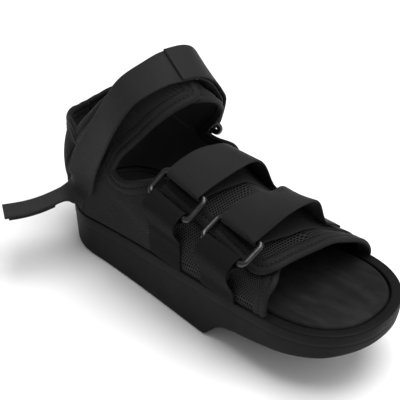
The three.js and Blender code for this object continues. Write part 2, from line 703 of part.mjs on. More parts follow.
// Forefoot strap: sewn to the sole on the inner side, over the flap, round the ring's upper bar and back.
// Near the ring it is drawn aside by the shift that squares the ring.
function addStrap(row, at, ring, upperClimb, shift) {
  const radius = RING.barRadius + 2 * CLEAR + STRAP.thick / 2;
  const lower = (round) => {
    const bridge = BRIDGE.height * smooth((round - upperClimb) / BRIDGE.over);
    const flap = flapHeight(round) + WALL + CLEAR + STRAP.thick / 2 + bridge;
    return mix(flap, RING.stand - radius, smooth(1 - (round - upperClimb) / STRAP.ease));
  };
  const upper = (k, round) => {
    const apart = mix(2 * radius, STRAP.thick + CLEAR, smooth(k));
    return lower(round) + apart + row.bow * Math.sin(Math.PI * k ** STRAP.early) ** STRAP.peak;
  };
  const level = vec(ring.along.x, ring.along.y, row.roll * ring.along.x).normalize();
  const drawn = (round, height) => {
    const frame = frameOnForm(at, round, height);
    frame.point.addScaledVector(shift, smooth(1 - (round - upperClimb) / STRAP.ease));
    return frame;
  };
  const under = steps(20).map((k) => {
    const round = mix(STRAP.footRound, upperClimb, k);
    const frame = drawn(round, lower(round));
    const turned = smooth((k - 1 + STRAP.ease) / STRAP.ease);
    return { point: frame.point, across: frame.across.clone().lerp(ring.along, turned) };
  });
  const over = steps(16).map((k) => {
    const round = mix(upperClimb, STRAP.endRound, k);
    const frame = drawn(round, upper(k, round));
    const start = frame.across.clone().lerp(ring.along, smooth(1 - k / STRAP.ease));
    return { point: frame.point, across: start.lerp(level, Math.sin(Math.PI * k) ** 0.5) };
  });
  const turn = turnRound(ring, ring.upper, radius, -1).reverse();
  const band = [...under.slice(0, -1), ...turn, ...over.slice(1)];
  ribbon(`strap_${row.name}`, band, STRAP.width, STRAP.thick);
}

function addFastening(row) {
  const at = sectionAt(row.x);
  const barClimb = roundAt(at, row.bar);
  const upperClimb = furtherRound(at, barClimb, RING.span);
  const along = vec(...row.along).normalize();
  const stand = RING.stand + RING.tip;
  const lower = { ...frameOnForm(at, barClimb, stand), across: along };
  const upper = frameOnForm(at, upperClimb, RING.stand);
  const shift = along.clone().multiplyScalar(along.dot(lower.point) - along.dot(upper.point));
  upper.point.add(shift);
  const ring = addRing(`ring_${row.name}`, lower, upper, STRAP.width);
  const length = onForm(at, TAB.foot).distanceTo(onForm(at, barClimb));
  const path = (below, height) => frameOnForm(at, mix(barClimb, TAB.foot, below / length), height);
  addTab(`tab_${row.name}`, ring, path, length, { stand, width: STRAP.width });
  addStrap(row, at, ring, upperClimb, shift);
}

// Ankle strap: free tail, up the outer side, over the ankle, round the inner ring and back to the top
function addAnkleStrap() {
  const at = sectionAt(ANKLE.x);
  const barClimb = roundAt(at, ANKLE.bar);
  const upperClimb = furtherRound(at, barClimb, RING.span);
  const lower = frameOnForm(at, 2 - barClimb, ANKLE.stand);
  const upper = frameOnForm(at, 2 - upperClimb, ANKLE.stand);
  const ring = addRing("ring_ankle", lower, upper, ANKLE.width + ANKLE.play);
  const footClimb = roundAt(at, ANKLE.tabFoot);
  const length = onForm(at, footClimb).distanceTo(onForm(at, barClimb));
  const path = (below, height) => frameOnForm(at, 2 - mix(barClimb, footClimb, below / length), height);
  addTab("tab_ankle", ring, path, length, ANKLE);

  const line = steps(44).map((k) => {
    const row = k * (ANKLE_LINE.length - 1);
    const read = (pick) => column(ANKLE_LINE, pick, row);
    const point = vec(read((r) => r.x), read((r) => r.y), read((r) => r.z));
    const across = vec(...[0, 1, 2].map((i) => read((r) => r.across[i]))).normalize();
    return { point, across, k };
  });
  const down = line[0].point.clone().sub(line[1].point).normalize();
  const aim = vec(...TAIL.aim).normalize();
  const out = aim.clone().addScaledVector(down, -aim.dot(down)).normalize();
  const tailAcross = vec(...TAIL.across).normalize();
  const bend = steps(6).slice(1).map((k) => {
    const angle = (Math.PI / 2) * k;
    const point = line[0].point.clone().addScaledVector(out, TAIL.bend * (1 - Math.cos(angle)));
    point.addScaledVector(down, TAIL.bend * Math.sin(angle));
    return { point, across: line[0].across.clone().lerp(tailAcross, k).normalize() };
  });
  const bendEnd = bend[bend.length - 1].point;
  const alongTail = (k) => {
    const point = bendEnd.clone().addScaledVector(aim, TAIL.length * k);
    point.z -= TAIL.sag * Math.sin(Math.PI * k);
    return { point, across: tailAcross };
  };
  const tail = steps(8).slice(1).map(alongTail);

  const radius = RING.barRadius + CLEAR + ANKLE.thick / 2;
  const inward = (p) => {
    const i = line.indexOf(p);
    const along = line[Math.min(i + 1, line.length - 1)].point.clone().sub(line[i - 1].point).normalize();
    const gap = mix(FOLD.topGap, FOLD.ringGap, (p.k - FOLD.from) / (1 - FOLD.from));
    const point = p.point.clone().addScaledVector(along.cross(p.across).normalize(), gap);
    return { point, across: p.across };
  };
  const top = line.filter((p) => p.k < FOLD.from);
  const far = line.filter((p) => p.k >= FOLD.from);
  const across = ring.along.clone().negate();
  const turn = turnRound(ring, ring.upper, radius, -1).map(({ point }) => ({ point, across }));
  const band = [
    ...tail.reverse(),
    ...bend.reverse(),
    ...top,
    ...far.map(inward),
    ...turn.reverse(),
    ...far.slice().reverse(),
  ];
  ribbon("ankle_strap", band, ANKLE.width, ANKLE.thick);

  const patch = steps(6).map((k) => {
    const place = alongTail(mix(PATCH.start, PATCH.end, k));
    place.point.z -= (ANKLE.thick + PATCH.thick) / 2 + 2 * CLEAR;
    return place;
  });
  ribbon("hook_patch", patch, PATCH.width, PATCH.thick);
}

addSole();
addVamp();
WINGS.forEach(addQuarter);
WINGS.forEach(addWing);
FASTENINGS.forEach(addFastening);
addAnkleStrap();

// The origin is under the middle of the shoe, on the floor
const box = new THREE.Box3().setFromObject(shoe);
const centre = box.getCenter(vec(0, 0, 0));
const part = new THREE.Group();
shoe.position.set(-centre.x, -centre.y, -box.min.z);
part.add(shoe);

export default part;
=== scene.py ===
import math

import bmesh
import bpy
import numpy as np
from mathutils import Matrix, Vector


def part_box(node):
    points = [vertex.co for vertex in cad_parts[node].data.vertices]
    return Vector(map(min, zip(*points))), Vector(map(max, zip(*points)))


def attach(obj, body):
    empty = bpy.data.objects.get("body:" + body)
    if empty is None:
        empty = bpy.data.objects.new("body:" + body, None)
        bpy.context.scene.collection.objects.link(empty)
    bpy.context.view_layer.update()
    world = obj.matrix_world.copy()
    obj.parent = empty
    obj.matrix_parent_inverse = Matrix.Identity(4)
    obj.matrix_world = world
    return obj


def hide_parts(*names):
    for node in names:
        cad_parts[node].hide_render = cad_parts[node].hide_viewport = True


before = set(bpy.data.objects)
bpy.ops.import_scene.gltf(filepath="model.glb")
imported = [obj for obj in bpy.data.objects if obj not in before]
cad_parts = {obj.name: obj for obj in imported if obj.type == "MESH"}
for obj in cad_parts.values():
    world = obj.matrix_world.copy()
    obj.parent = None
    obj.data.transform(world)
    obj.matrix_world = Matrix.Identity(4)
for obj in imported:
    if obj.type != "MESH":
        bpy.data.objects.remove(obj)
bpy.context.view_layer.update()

# View
# The photograph looks down on the outer side of a right shoe from its toe end, through a long lens.
# Lengths below are in millimetres from the heel end of the sole, on its middle line and on the floor.
sole_low, sole_high = (np.array(corner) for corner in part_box("sole"))
heel_end = np.array([sole_low[0], (sole_low[1] + sole_high[1]) / 2, 0.0])
view_turn = math.radians(42.85)
view_rise = math.radians(38.1)
view_target = (111.5, 6.6, 63.8)
view_distance = 0.9
view_lens = 110.7


def in_frame(points):
    return np.asarray(points, float) * 0.001 + heel_end


camera = bpy.data.objects.new("camera", bpy.data.cameras.new("camera"))
bpy.context.scene.collection.objects.link(camera)
bpy.context.scene.camera = camera
view_back = Vector(
    (
        math.sin(view_turn) * math.cos(view_rise),
        -math.cos(view_turn) * math.cos(view_rise),
        math.sin(view_rise),
    )
)
camera.location = Vector(in_frame(view_target)) + view_back * view_distance
camera.rotation_euler = view_back.to_track_quat("Z", "Y").to_euler()
camera.data.lens = view_lens

# Sole
# A wedge of moulded black foam with a flat ground face, a toe end that is carried clear of the floor,
# a faint ledge line round its side and a raised rim round the footbed. Everything else is fixed to it.
sole_length = 285.0
heel_height = 32.0
top_slope = 0.105
heel_half_width = 41.0
heel_depth = 42.0
toe_half_width = 50.5
toe_depth = 62.0
toe_power = 2.25
contact_end = 163.0
rim_width = 7.6
recess = 4.0
edge_round = 1.5
inner_round = 1.2
ground_round = 2.2
ledge_drop = 9.0
ledge_step = 0.5
ledge_profile = ((0.9, -1.4), (1.0, -0.6), (0.75, 0.2), (0.25, 1.0), (0.0, 1.8))
under_taper = 1.2
side_taper = 0.4
floor_rows = 24
underside_x = np.array([contact_end, 168, 175, 183, 193, 225, 262, sole_length])
underside_z = np.array([0, 5, 13.5, 19, 22.5, 29, 37.3, 44])
clear = 0.35


class Wire:
    """A socket in a material's nodes, with arithmetic; make adds any other node."""

    def __init__(self, tree, socket=None):
        self.tree = tree
        self.socket = socket

    def feed(self, target, value):
        if isinstance(value, Wire):
            self.tree.links.new(value.socket, target)
        else:
            target.default_value = value

    def make(self, kind, settings, inputs, output=0):
        node = self.tree.nodes.new(kind)
        for name, value in settings.items():
            setattr(node, name, value)
        for name, value in inputs.items():
            self.feed(node.inputs[name], value)
        return Wire(self.tree, node.outputs[output])

    def math(self, operation, first, second=0.0):
        return self.make("ShaderNodeMath", {"operation": operation}, {0: first, 1: second})

    def __add__(self, other):
        return self.math("ADD", self, other)

    def __mul__(self, other):
        return self.math("MULTIPLY", self, other)

    __radd__ = __add__
    __rmul__ = __mul__

    def ribs(self, pitch, sway=0.0):
        return self.math("SINE", self * (2 * math.pi / pitch) + sway)

    def noise(self, scale, detail):
        inputs = {"Vector": self, "Scale": scale, "Detail": detail}
        return self.make("ShaderNodeTexNoise", {}, inputs, "Fac")

    def between(self, low, high, new_low=0.0, new_high=1.0):
        inputs = {0: self, 1: low, 2: high, 3: new_low, 4: new_high}
        return self.make("ShaderNodeMapRange", {"interpolation_type": "SMOOTHSTEP"}, inputs)

    def colour(self, dark, light):
        return self.make("ShaderNodeMix", {"data_type": "RGBA"}, {0: self, 6: dark, 7: light}, 2)

    def bump(self, depth):
        return self.make("ShaderNodeBump", {}, {"Height": self, "Distance": depth, "Strength": 1.0})


def grey(value, blue=1.03):
    return (value, value, value * blue, 1.0)


def new_material(name):
    material = bpy.data.materials.new(name)
    material.use_nodes = True
    return material, Wire(material.node_tree)


def dress(material, **sockets):
    shader = material.node_tree.nodes["Principled BSDF"]
    for name, value in sockets.items():
        Wire(material.node_tree).feed(shader.inputs[name.replace("_", " ")], value)


def in_space(wire):
    return wire.make("ShaderNodeTexCoord", {}, {}, "Object")


def grid(rows, columns, joined=False, start=0):
    """Quads over rows of points; joined closes each row into a ring."""
    wide = columns if joined else columns - 1
    row, here = np.meshgrid(np.arange(rows - 1), np.arange(wide), indexing="ij")
    ahead = (here + 1) % columns
    corners = ((row, here), (row, ahead), (row + 1, ahead), (row + 1, here))
    return np.stack([r * columns + c for r, c in corners], -1).reshape(-1, 4) + start


def add_piece(name, points, faces, material, cloth=None):
    """A mesh that rides on the shoe; cloth gives each point's place in the cloth, in millimetres."""
    points = np.asarray(points, float)
    tris = np.concatenate([faces[:, :3], faces[:, [0, 2, 3]]]) if faces.shape[1] == 4 else faces
    a, b, c = (points[tris[:, i]] for i in range(3))
    if np.einsum("ij,ij->", a, np.cross(b, c)) < 0:
        faces = faces[:, ::-1]
    mesh = bpy.data.meshes.new(name)
    mesh.from_pydata(in_frame(points).tolist(), [], faces.tolist())
    mesh.shade_smooth()
    mesh.materials.append(material)
    if cloth is not None:
        corner = np.zeros(len(mesh.loops), int)
        mesh.loops.foreach_get("vertex_index", corner)
        layer = mesh.uv_layers.new(name="cloth")
        layer.data.foreach_set("uv", np.asarray(cloth, np.float32)[corner].ravel())
    piece = bpy.data.objects.new(name, mesh)
    bpy.context.scene.collection.objects.link(piece)
    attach(piece, "root")
    return piece


def mix(a, b, k):
    return a + (b - a) * k


def smooth(k):
    k = np.clip(k, 0, 1)
    return k * k * (3 - 2 * k)


def column(values, at):
    """A column of a table at fractional rows, on a smooth curve through the rows."""
    values = np.asarray(values, float)
    last = len(values) - 1
    row = np.clip(np.floor(at).astype(int), 0, last - 1)
    k = at - row
    before, here, there, after = (values[np.clip(row + step, 0, last)] for step in (-1, 0, 1, 2))
    leave = (there - before) / 2
    arrive = (after - here) / 2
    bend = (k**3 - 2 * k**2 + k) * leave + (k**3 - k**2) * arrive
    return here + (3 * k**2 - 2 * k**3) * (there - here) + bend


def sole_top(x):
    return heel_height + top_slope * x


def underside(x):
    at = np.interp(x, underside_x, np.arange(len(underside_x)))
    return np.where(x > contact_end, column(underside_z, at), 0)


def half_width(x):
    heel = np.clip((heel_depth - x) / heel_depth, 0, 1)
    toe = np.clip((x - sole_length + toe_depth) / toe_depth, 0, 1)
    side = smooth((x - heel_depth) / (sole_length - toe_depth - heel_depth))
    half = mix(heel_half_width, toe_half_width, side) * np.sqrt(1 - heel**2)
    return half * (1 - toe**toe_power) ** (1 / toe_power)


def outline(inset):
    """One side of the sole's edge, moved in by an inset: x and half width from heel to toe."""
    turn = np.sin(np.linspace(0, 1, 36) * np.pi / 2)
    heel = heel_depth * (1 - turn[::-1])
    side = np.linspace(heel_depth, sole_length - toe_depth, 90)
    toe = sole_length - toe_depth + toe_depth * turn
    x = np.concatenate([heel, side[1:-1], toe])
    step = 0.05
    slope = (half_width(x + step) - half_width(x - step)) / (2 * step)
    length = np.hypot(1, slope)
    moved_x = x + inset * slope / length
    moved_y = half_width(x) - inset / length
    moved_x[0], moved_x[-1] = inset, sole_length - inset
    moved_y[0] = moved_y[-1] = 0
    return moved_x, moved_y


def rings(rows):
    """Rings of the sole's edge, one for each inset and height, as one array of points."""
    stack = []
    for inset, height in rows:
        x, y = outline(inset)
        loop_x = np.concatenate([x, x[-2:0:-1]])
        loop_y = np.concatenate([-y, y[-2:0:-1]])
        stack.append(np.stack([loop_x, loop_y, height(loop_x)], -1))
    return np.array(stack)


def across_ring(ring, count, height):
    """Rows of points from one side of a ring to the other; height raises them between."""
    half = len(ring) // 2
    near = ring[: half + 1]
    far = np.concatenate([ring[:1], ring[: half - 1 : -1]])
    k = np.linspace(0, 1, count)[1:-1, None, None]
    rows = mix(near[None], far[None], k)
    rows[..., 2] += height(k[..., 0], rows[..., 0])
    return np.concatenate([near[None], rows, far[None]])


def level(k, x):
    return 0 * k * x


def stacked(rows, top_height):
    """Points and quads of rings with a floor across the first and the last one."""
    stack = rings(rows)
    loop = stack.shape[1]
    points = [stack.reshape(-1, 3)]
    faces = [grid(len(stack), loop, joined=True)]
    start = len(points[0])
    for ring, height in ((stack[0], level), (stack[-1], top_height)):
        across = across_ring(ring, floor_rows, height)
        points.append(across.reshape(-1, 3))
        quads = grid(across.shape[0], across.shape[1], start=start)
        faces.append(quads if ring is stack[0] else quads[:, ::-1])
        start += across.shape[0] * across.shape[1]
    return np.concatenate(points), np.concatenate(faces)


def weld(piece):
    """Joins points that lie on one another and drops faces with no area."""
    tool = bmesh.new()
    tool.from_mesh(piece.data)
    bmesh.ops.remove_doubles(tool, verts=tool.verts, dist=1e-6)
    bmesh.ops.dissolve_degenerate(tool, edges=tool.edges, dist=1e-7)
    bmesh.ops.recalc_face_normals(tool, faces=tool.faces)
    tool.to_mesh(piece.data)
    tool.free()
    return piece


foam, wire = new_material("foam")
place = in_space(wire)
grain = place.noise(1500.0, 3.0)
clouds = place.noise(38.0, 3.0)
scuffs = place.noise(210.0, 4.0).between(0.56, 0.74)
dress(
    foam,
    Base_Color=(clouds * 0.7 + scuffs * 0.3).colour(grey(0.0025), grey(0.0075)),
    Roughness=(clouds * 0.5 + grain * 0.5).between(0.3, 0.7, 0.5, 0.68),
    Specular_IOR_Level=0.1,
    Normal=(grain + scuffs * 0.4).bump(0.00012),
)


def side_height(x, k):
    return mix(underside(x) + ground_round, sole_top(x) - ledge_drop - ground_round, k)


bends = np.linspace(0, np.pi / 2, 5)
bottom_rows = [
    (
        under_taper + ground_round * (1 - np.sin(a)),
        lambda x, a=a: underside(x) + ground_round * (1 - np.cos(a)),
    )
    for a in bends[:-1]
]
side_rows = [
    (mix(under_taper, side_taper, k), lambda x, k=k: side_height(x, k)) for k in np.linspace(0, 1, 12)
]
ledge_rows = [
    (ledge_step * share, lambda x, rise=rise: sole_top(x) - ledge_drop + rise)
    for share, rise in ledge_profile
]
outer_rows = [
    (edge_round * (1 - np.cos(a)), lambda x, a=a: sole_top(x) - edge_round * (1 - np.sin(a))) for a in bends
]
inner_rows = [
    (rim_width - inner_round * (1 - np.sin(a)), lambda x, a=a: sole_top(x) - inner_round * (1 - np.cos(a)))
    for a in bends
]
sole_rows = [*bottom_rows, *side_rows, *ledge_rows, *outer_rows, *inner_rows]
sole_rows.append((rim_width, lambda x: sole_top(x) - recess))
points, faces = stacked(sole_rows, level)
sole = weld(add_piece("foam_sole", points, faces, foam))
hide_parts("sole")

# Footbed
# A soft insole of foam with a brushed cloth face, pressed into the sole's recess with a groove round it.
# It is dished a little under the foot and its edge is rounded. Its heel end is painted darker, as the shade
# inside the upper.
groove = 1.3
bed_crown = 0.8
bed_dish = 1.1
dish_power = 0.8
bed_round = 2.6
bed_bevel = 0.6
heel_cup = 0.9
heel_cup_end = 70.0
heel_cup_reach = 60.0


def split(vector):
    return [vector.make("ShaderNodeSeparateXYZ", {}, {0: vector}, axis) for axis in "XY"]


brushed, wire = new_material("brushed_cloth")
place = in_space(wire)
nap = place.noise(1100.0, 4.0)
worn = place.noise(26.0, 3.0).between(0.35, 0.7)
stretch = {0: place, 1: (0.3, 1.0, 1.0)}
along_foot = place.make("ShaderNodeVectorMath", {"operation": "MULTIPLY"}, stretch)
streaks = along_foot.noise(120.0, 4.0).between(0.4, 0.7)
# Painted shade: the cloth's colour is darkened towards the heel, where the footbed lies in shade under the
# upper; the toe end keeps the full grey.
painted_heel_shade = split(place)[0].between(-0.06, 0.05, 0.1, 1.0)
dress(
    brushed,
    Base_Color=((nap * 0.3 + worn * 0.4 + streaks * 0.3) * painted_heel_shade).colour(grey(0.004), grey(0.024)),
    Roughness=nap.between(0.3, 0.7, 0.75, 0.95),
    Specular_IOR_Level=0.1,
    Sheen_Weight=0.02,
    Sheen_Roughness=0.5,
    Normal=nap.bump(0.00022),
)
bed_inset = rim_width + groove
bed_edge = [
    (
        bed_inset + bed_round * (1 - np.sin(a)),
        lambda x, a=a: sole_top(x) + bed_crown - bed_round * (1 - np.cos(a)),
    )
    for a in np.linspace(np.pi / 2, 0, 8)
]
bed_rows = [
    (bed_inset + bed_bevel, lambda x: sole_top(x) - recess + clear),
    (bed_inset, lambda x: sole_top(x) - recess + clear + bed_bevel),
    *bed_edge,
]


def dished(k, x):
    cup = heel_cup * smooth((heel_cup_end - x) / heel_cup_reach)
    return -(bed_dish + cup) * np.sin(np.pi * np.clip(k, 0, 1)) ** dish_power


points, faces = stacked(bed_rows, dished)
footbed = weld(add_piece("insole", points, faces, brushed))
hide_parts("footbed")

# Near vamp
# A panel of spacer mesh on the outer side of the forefoot, a net with six-sided holes over a dark backing.
# It is lasted at its foot, sewn to the quarter behind it, and goes up under the flap and the straps.
# Like all of the upper it follows a foot form: a place on it is a section and how far round that it lies.
section_base = [250, 225, 195, 165, 135, 108, 84, 62, 44, 30, 16, 7]
section_rise = [25, 75]
crest_x = [251, 226, 196, 166, 138, 122, 118, 117, 112, 101, 88, 79, 71, 60]
crest_z = [83, 86, 92, 99, 106, 112, 128, 142, 153, 161, 170, 180, 192, 200]
section_half = [47, 46.6, 46, 44.5, 42.8, 41.8, 42, 42.5, 42.5, 41, 39, 37, 35, 31]
section_skew = [0.3, 0.3, 0.3, 0.3, 0.3, 0.22, 0.1, 0.03, 0, 0, 0, 0, 0, 0]
section_square = [0.62, 0.66, 0.75, 0.8, 0.8, 0.8, 0.8, 0.82, 0.85, 0.88, 0.92, 0.95, 1, 1]
section_slope = [1.5, 1.6, 1.8, 1.8, 1.7, 1.4, 1.1, 1.1, 1.16, 1.2, 1.16, 1.08, 1, 1]
last_section = len(crest_x) - 1
form_inset = 3.8
least_bulge = 1.002
top_skew = 0.3
heel_bulge = 5.0
heel_lean = 0.03
heel_rise = 85.0
wall = 2.4
net_thick = 0.5
hole_share = (0.7, 0.66)
net_levels = ((1.22, -0.08), (1.0, -0.25), (1.0, -net_thick))
sole_sink = 0.1


def reached(points):
    """Length along a line at each of its points."""
    return np.concatenate([[0], np.cumsum(np.linalg.norm(np.diff(points, axis=0), axis=-1))])


base_x, base_y = (values[::-1] for values in outline(form_inset))
base_reach = reached(np.stack([base_x, base_y], -1))
heel_reach = base_reach[-1]
row_reach = np.concatenate(
    [np.interp(section_base, base_x[::-1], base_reach[::-1]), heel_reach + np.array(section_rise)]
)


def section_foot(at):
    """Where a section stands: x, z and its half width on the sole's edge."""
    reach = column(row_reach, at)
    rise = np.maximum(0, reach - heel_reach)
    bulge = heel_bulge * np.sin(np.pi * rise / heel_rise)
    x = np.where(rise > 0, form_inset - bulge + heel_lean * rise, np.interp(reach, base_reach, base_x))
    z = np.where(rise > 0, sole_top(form_inset) + rise, sole_top(x)) + clear
    half = np.where(rise > 0, 0, np.interp(reach, base_reach, base_y))
    return x, z, half


def signed_power(value, power):
    return np.sign(value) * np.abs(value) ** power


def on_form(at, round_):
    """Points on the form; round_ runs 0 to 1 up the outer side and 1 to 2 down the inner side."""
    at, round_ = np.broadcast_arrays(np.asarray(at, float), np.asarray(round_, float))
    foot_x, foot_z, foot_half = section_foot(at)
    widest = np.maximum(column(section_half, at), foot_half * least_bulge)
    side = np.where(round_ <= 1, -1.0, 1.0)
    climb = np.where(round_ <= 1, round_, 2 - round_)
    square = column(section_square, at) * np.where(side > 0, column(section_slope, at), 1)
    start = -np.arccos((foot_half / widest) ** (1 / square))
    angle = start + climb * (np.pi / 2 - start)
    low = signed_power(np.sin(start), square)
    rise = (signed_power(np.sin(angle), square) - low) / (1 - low)
    y = side * widest * signed_power(np.cos(angle), square)
    foot_skew = column(section_skew, at)
    turned = np.interp(foot_x + foot_skew * side * foot_half, base_x[::-1], base_y[::-1])
    share = np.where(foot_half > 0, turned / np.maximum(foot_half, 1e-9), 1)
    y = y * mix(share, 1, np.clip(rise, 0, 1))
    skew = mix(foot_skew, top_skew, np.clip(rise, 0, 1))
    x = mix(foot_x, column(crest_x, at), rise) + skew * y
    z = mix(foot_z + top_slope * foot_skew * y, column(crest_z, at), rise)
    return np.stack([x, y, z], -1)


def unit(vectors):
    return vectors / np.linalg.norm(vectors, axis=-1, keepdims=True)


def form_frame(at, round_):
    """Directions on the form: over from the outer to the inner side, across it, and out of it."""
    round_step, section_step = 0.004, 0.02
    over = unit(on_form(at, round_ + round_step) - on_form(at, round_ - round_step))
    back = unit(on_form(at + section_step, round_) - on_form(at - section_step, round_))
    normal = unit(np.cross(over, back))
    return over, unit(np.cross(normal, over)), normal


def above_sole(points):
    points[..., 2] = np.maximum(points[..., 2], sole_top(points[..., 0]) - sole_sink)
    return points


def lift(at, round_, height):
    """Points at a height over the form, kept on the sole."""
    at, round_ = np.broadcast_arrays(np.asarray(at, float), np.asarray(round_, float))
    return above_sole(on_form(at, round_) + form_frame(at, round_)[2] * np.asarray(height)[..., None])


def solve(function, low, high):
    """Where a rising or falling function passes zero."""
    sign = np.sign(function(low))
    for _ in range(40):
        middle = (low + high) / 2
        same = np.sign(function(middle)) == sign
        low, high = np.where(same, middle, low), np.where(same, high, middle)
    return (low + high) / 2


def round_at(at, z):
    at = np.asarray(at, float)
    return solve(lambda r: on_form(at, r)[..., 2] - z, np.zeros(at.shape), np.ones(at.shape))


def section_at(x):
    return float(solve(lambda at: column(crest_x, at) - x, np.array(0.0), np.array(float(last_section))))


def locate(x, z):
    """Section and place round it of a point in the side view, with the skew taken out."""

    def aside(at):
        foot_x, foot_z, _ = section_foot(at)
        top_x, top_z = column(crest_x, at), column(crest_z, at)
        return (top_x - foot_x) * (z - foot_z) - (top_z - foot_z) * (x - foot_x)

    at = float(solve(aside, np.array(0.0), np.array(float(last_section))))
    return np.array([at, float(round_at(at, z))])


def further_round(at, round_, length):
    """Place a length further round a section."""
    steps, probe = 8, 0.01
    for _ in range(steps):
        gone = on_form(at, round_ + probe) - on_form(at, round_ - probe)
        round_ = round_ + length / steps * 2 * probe / np.linalg.norm(gone, axis=-1)
    return round_


def cloth_place(wire):
    return wire.make("ShaderNodeUVMap", {"uv_map": "cloth"}, {}, "UV")


backing, wire = new_material("backing")
place = in_space(wire)
fuzz = place.noise(1300.0, 3.0)
dress(
    backing,
    Base_Color=fuzz.colour(grey(0.002), grey(0.006)),
    Roughness=fuzz.between(0.3, 0.7, 0.8, 0.95),
    Specular_IOR_Level=0.05,
    Normal=fuzz.bump(0.0002),
)
lining, wire = new_material("lining")
place = in_space(wire)
brushing = place.noise(1300.0, 3.0)
dull = place.noise(40.0, 2.0)
dress(
    lining,
    Base_Color=(brushing * 0.5 + dull * 0.5).colour(grey(0.014), grey(0.04)),
    Roughness=brushing.between(0.3, 0.7, 0.75, 0.95),
    Specular_IOR_Level=0.08,
    Normal=brushing.bump(0.0002),
)
yarn, wire = new_material("net_yarn")
place = in_space(wire)
strand = place.noise(900.0, 3.0)
patches = place.noise(60.0, 2.0)
dress(
    yarn,
    Base_Color=(strand * 0.5 + patches * 0.5).colour(grey(0.013), grey(0.03)),
    Roughness=strand.between(0.3, 0.7, 0.55, 0.8),
    Specular_IOR_Level=0.2,
    Sheen_Weight=0.03,
    Sheen_Roughness=0.4,
    Normal=strand.bump(0.0001),
)


def plate(name, place, low, high, counts, material):
    """A panel between two heights over the form; place gives section and round for u and v in 0 to 1."""
    u, v = np.meshgrid(np.linspace(0, 1, counts[0]), np.linspace(0, 1, counts[1]), indexing="ij")
    at, round_ = place(u, v)
    sheets = [lift(at, round_, low(u, v, at, round_)), lift(at, round_, high(u, v, at, round_))]
    rows, columns = counts
    layer = rows * columns
    points = np.concatenate([s.reshape(-1, 3) for s in sheets])
    inner = grid(rows, columns)
    number = np.arange(layer).reshape(rows, columns)
    rim = np.concatenate([number[0], number[1:, -1], number[-1, -2::-1], number[-2:0:-1, 0]])
    ahead = np.roll(rim, -1)
    edge = np.stack([rim, ahead, ahead + layer, rim + layer], -1)
    faces = np.concatenate([inner, (inner + layer)[:, ::-1], edge[:, ::-1]])
    middle = (sheets[0] + sheets[1]) / 2
    steps = (np.diff(middle, axis=0, prepend=middle[:1]), np.diff(middle, axis=1, prepend=middle[:, :1]))
    reach = [np.cumsum(np.linalg.norm(step, axis=-1), axis=axis) for axis, step in enumerate(steps)]
    cloth = np.tile(np.stack(reach, -1).reshape(-1, 2), (2, 1))
    return weld(add_piece(name, points, faces, material, cloth))


hex_corner = np.array([(0, 2), (0.5, 1), (0.5, -1), (0, -2), (-0.5, -1), (-0.5, 1)]) / (1, 3)
hole_edge = hex_corner * hole_share


def net(name, place, height, cells):
    """A net of six-sided cells over a panel: raised strands round holes that go down to the backing."""
    across, along = cells
    cell, row = np.meshgrid(np.arange(across), np.arange(along), indexing="ij")
    middle = np.stack([cell + 0.5 + 0.5 * (row % 2), row + 0.75], -1).reshape(-1, 1, 2)
    loops = [(middle + hex_corner, 0.0), *((middle + hole_edge * wide, deep) for wide, deep in net_levels)]
    places = np.concatenate([np.dstack([loop, np.full(loop.shape[:2], deep)]) for loop, deep in loops], 1)
    key, index = np.unique(np.round(places.reshape(-1, 3), 4), axis=0, return_inverse=True)
    index = index.reshape(-1, len(loops), len(hex_corner))
    u, v, deep = (key / (across + 0.5, along + 0.5, 1)).T
    at, round_ = place(u, v)
    points = lift(at, round_, height(u, v, at, round_) + deep)
    outer, inner = index[:, :-1], index[:, 1:]
    quads = [outer, np.roll(outer, -1, 2), np.roll(inner, -1, 2), inner]
    return add_piece(name, points, np.stack(quads, -1).reshape(-1, 4), yarn)


def at_height(value):
    return lambda u, v, at, round_: np.full(np.shape(u), float(value))


vamp_front = section_at(231)
vamp_seam = section_at(130)
vamp_share = 0.8
slant_start = 0.45
slant_depth = 0.45


def vamp_place(u, v):
    under_flap = slant_depth * smooth((v - slant_start) / (1 - slant_start))
    return mix(vamp_front + under_flap, vamp_seam, u), vamp_share * v


near_vamp = plate("vamp_backing", vamp_place, at_height(0), at_height(wall - net_thick), (60, 36), backing)
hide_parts("near_vamp")
vamp_net = net("vamp_net", vamp_place, at_height(wall), (50, 34))

# Flap
# A second mesh panel, lasted on the inner side, that crosses the forefoot over the near vamp. Its free
# edge runs down the outer side inside the ring line, and its front corner is rounded and stands up.
flap_front = section_at(225.5)
flap_rear = section_at(125)
flap_slant = 0.3
flap_gap = 0.9
flap_inside = 6.0
flap_settle = 1.4
flap_ease = 0.35
corner_share = 0.16
corner_cut = 0.4
corner_stand = 3.0
stand_reach = 0.3
stand_least = 0.2
stand_ease = 0.4
table_margin = 0.3
ring_x = {"rear": 141, "front": 195}
ring_z = {"rear": 91.5, "front": 81.5}
table_at = np.linspace(flap_front - table_margin, flap_rear + table_margin, 160)
rear_at, front_at = (section_at(x) for x in ring_x.values())
bar_share = (table_at - rear_at) / (front_at - rear_at)
bar_round = round_at(table_at, mix(*ring_z.values(), bar_share))
flap_edge = further_round(table_at, bar_round, flap_inside)


def flap_height(round_):
    return (wall + flap_gap) * smooth((flap_settle - round_) / flap_ease)


def flap_stand(at, round_):
    nearness = smooth(1 - (at - flap_front) / stand_reach)
    outer = mix(stand_least, 1, smooth((1 - round_) / stand_ease))
    return flap_height(round_) + corner_stand * nearness * outer


def flap_place(u, v):
    corner = np.clip(1 - u / corner_share, 0, 1)
    cut = corner_cut * (1 - np.sqrt(1 - corner**2))
    at = mix(flap_front + flap_slant * u + cut, flap_rear, v)
    return at, mix(np.interp(at, table_at, flap_edge), 2.0, u)


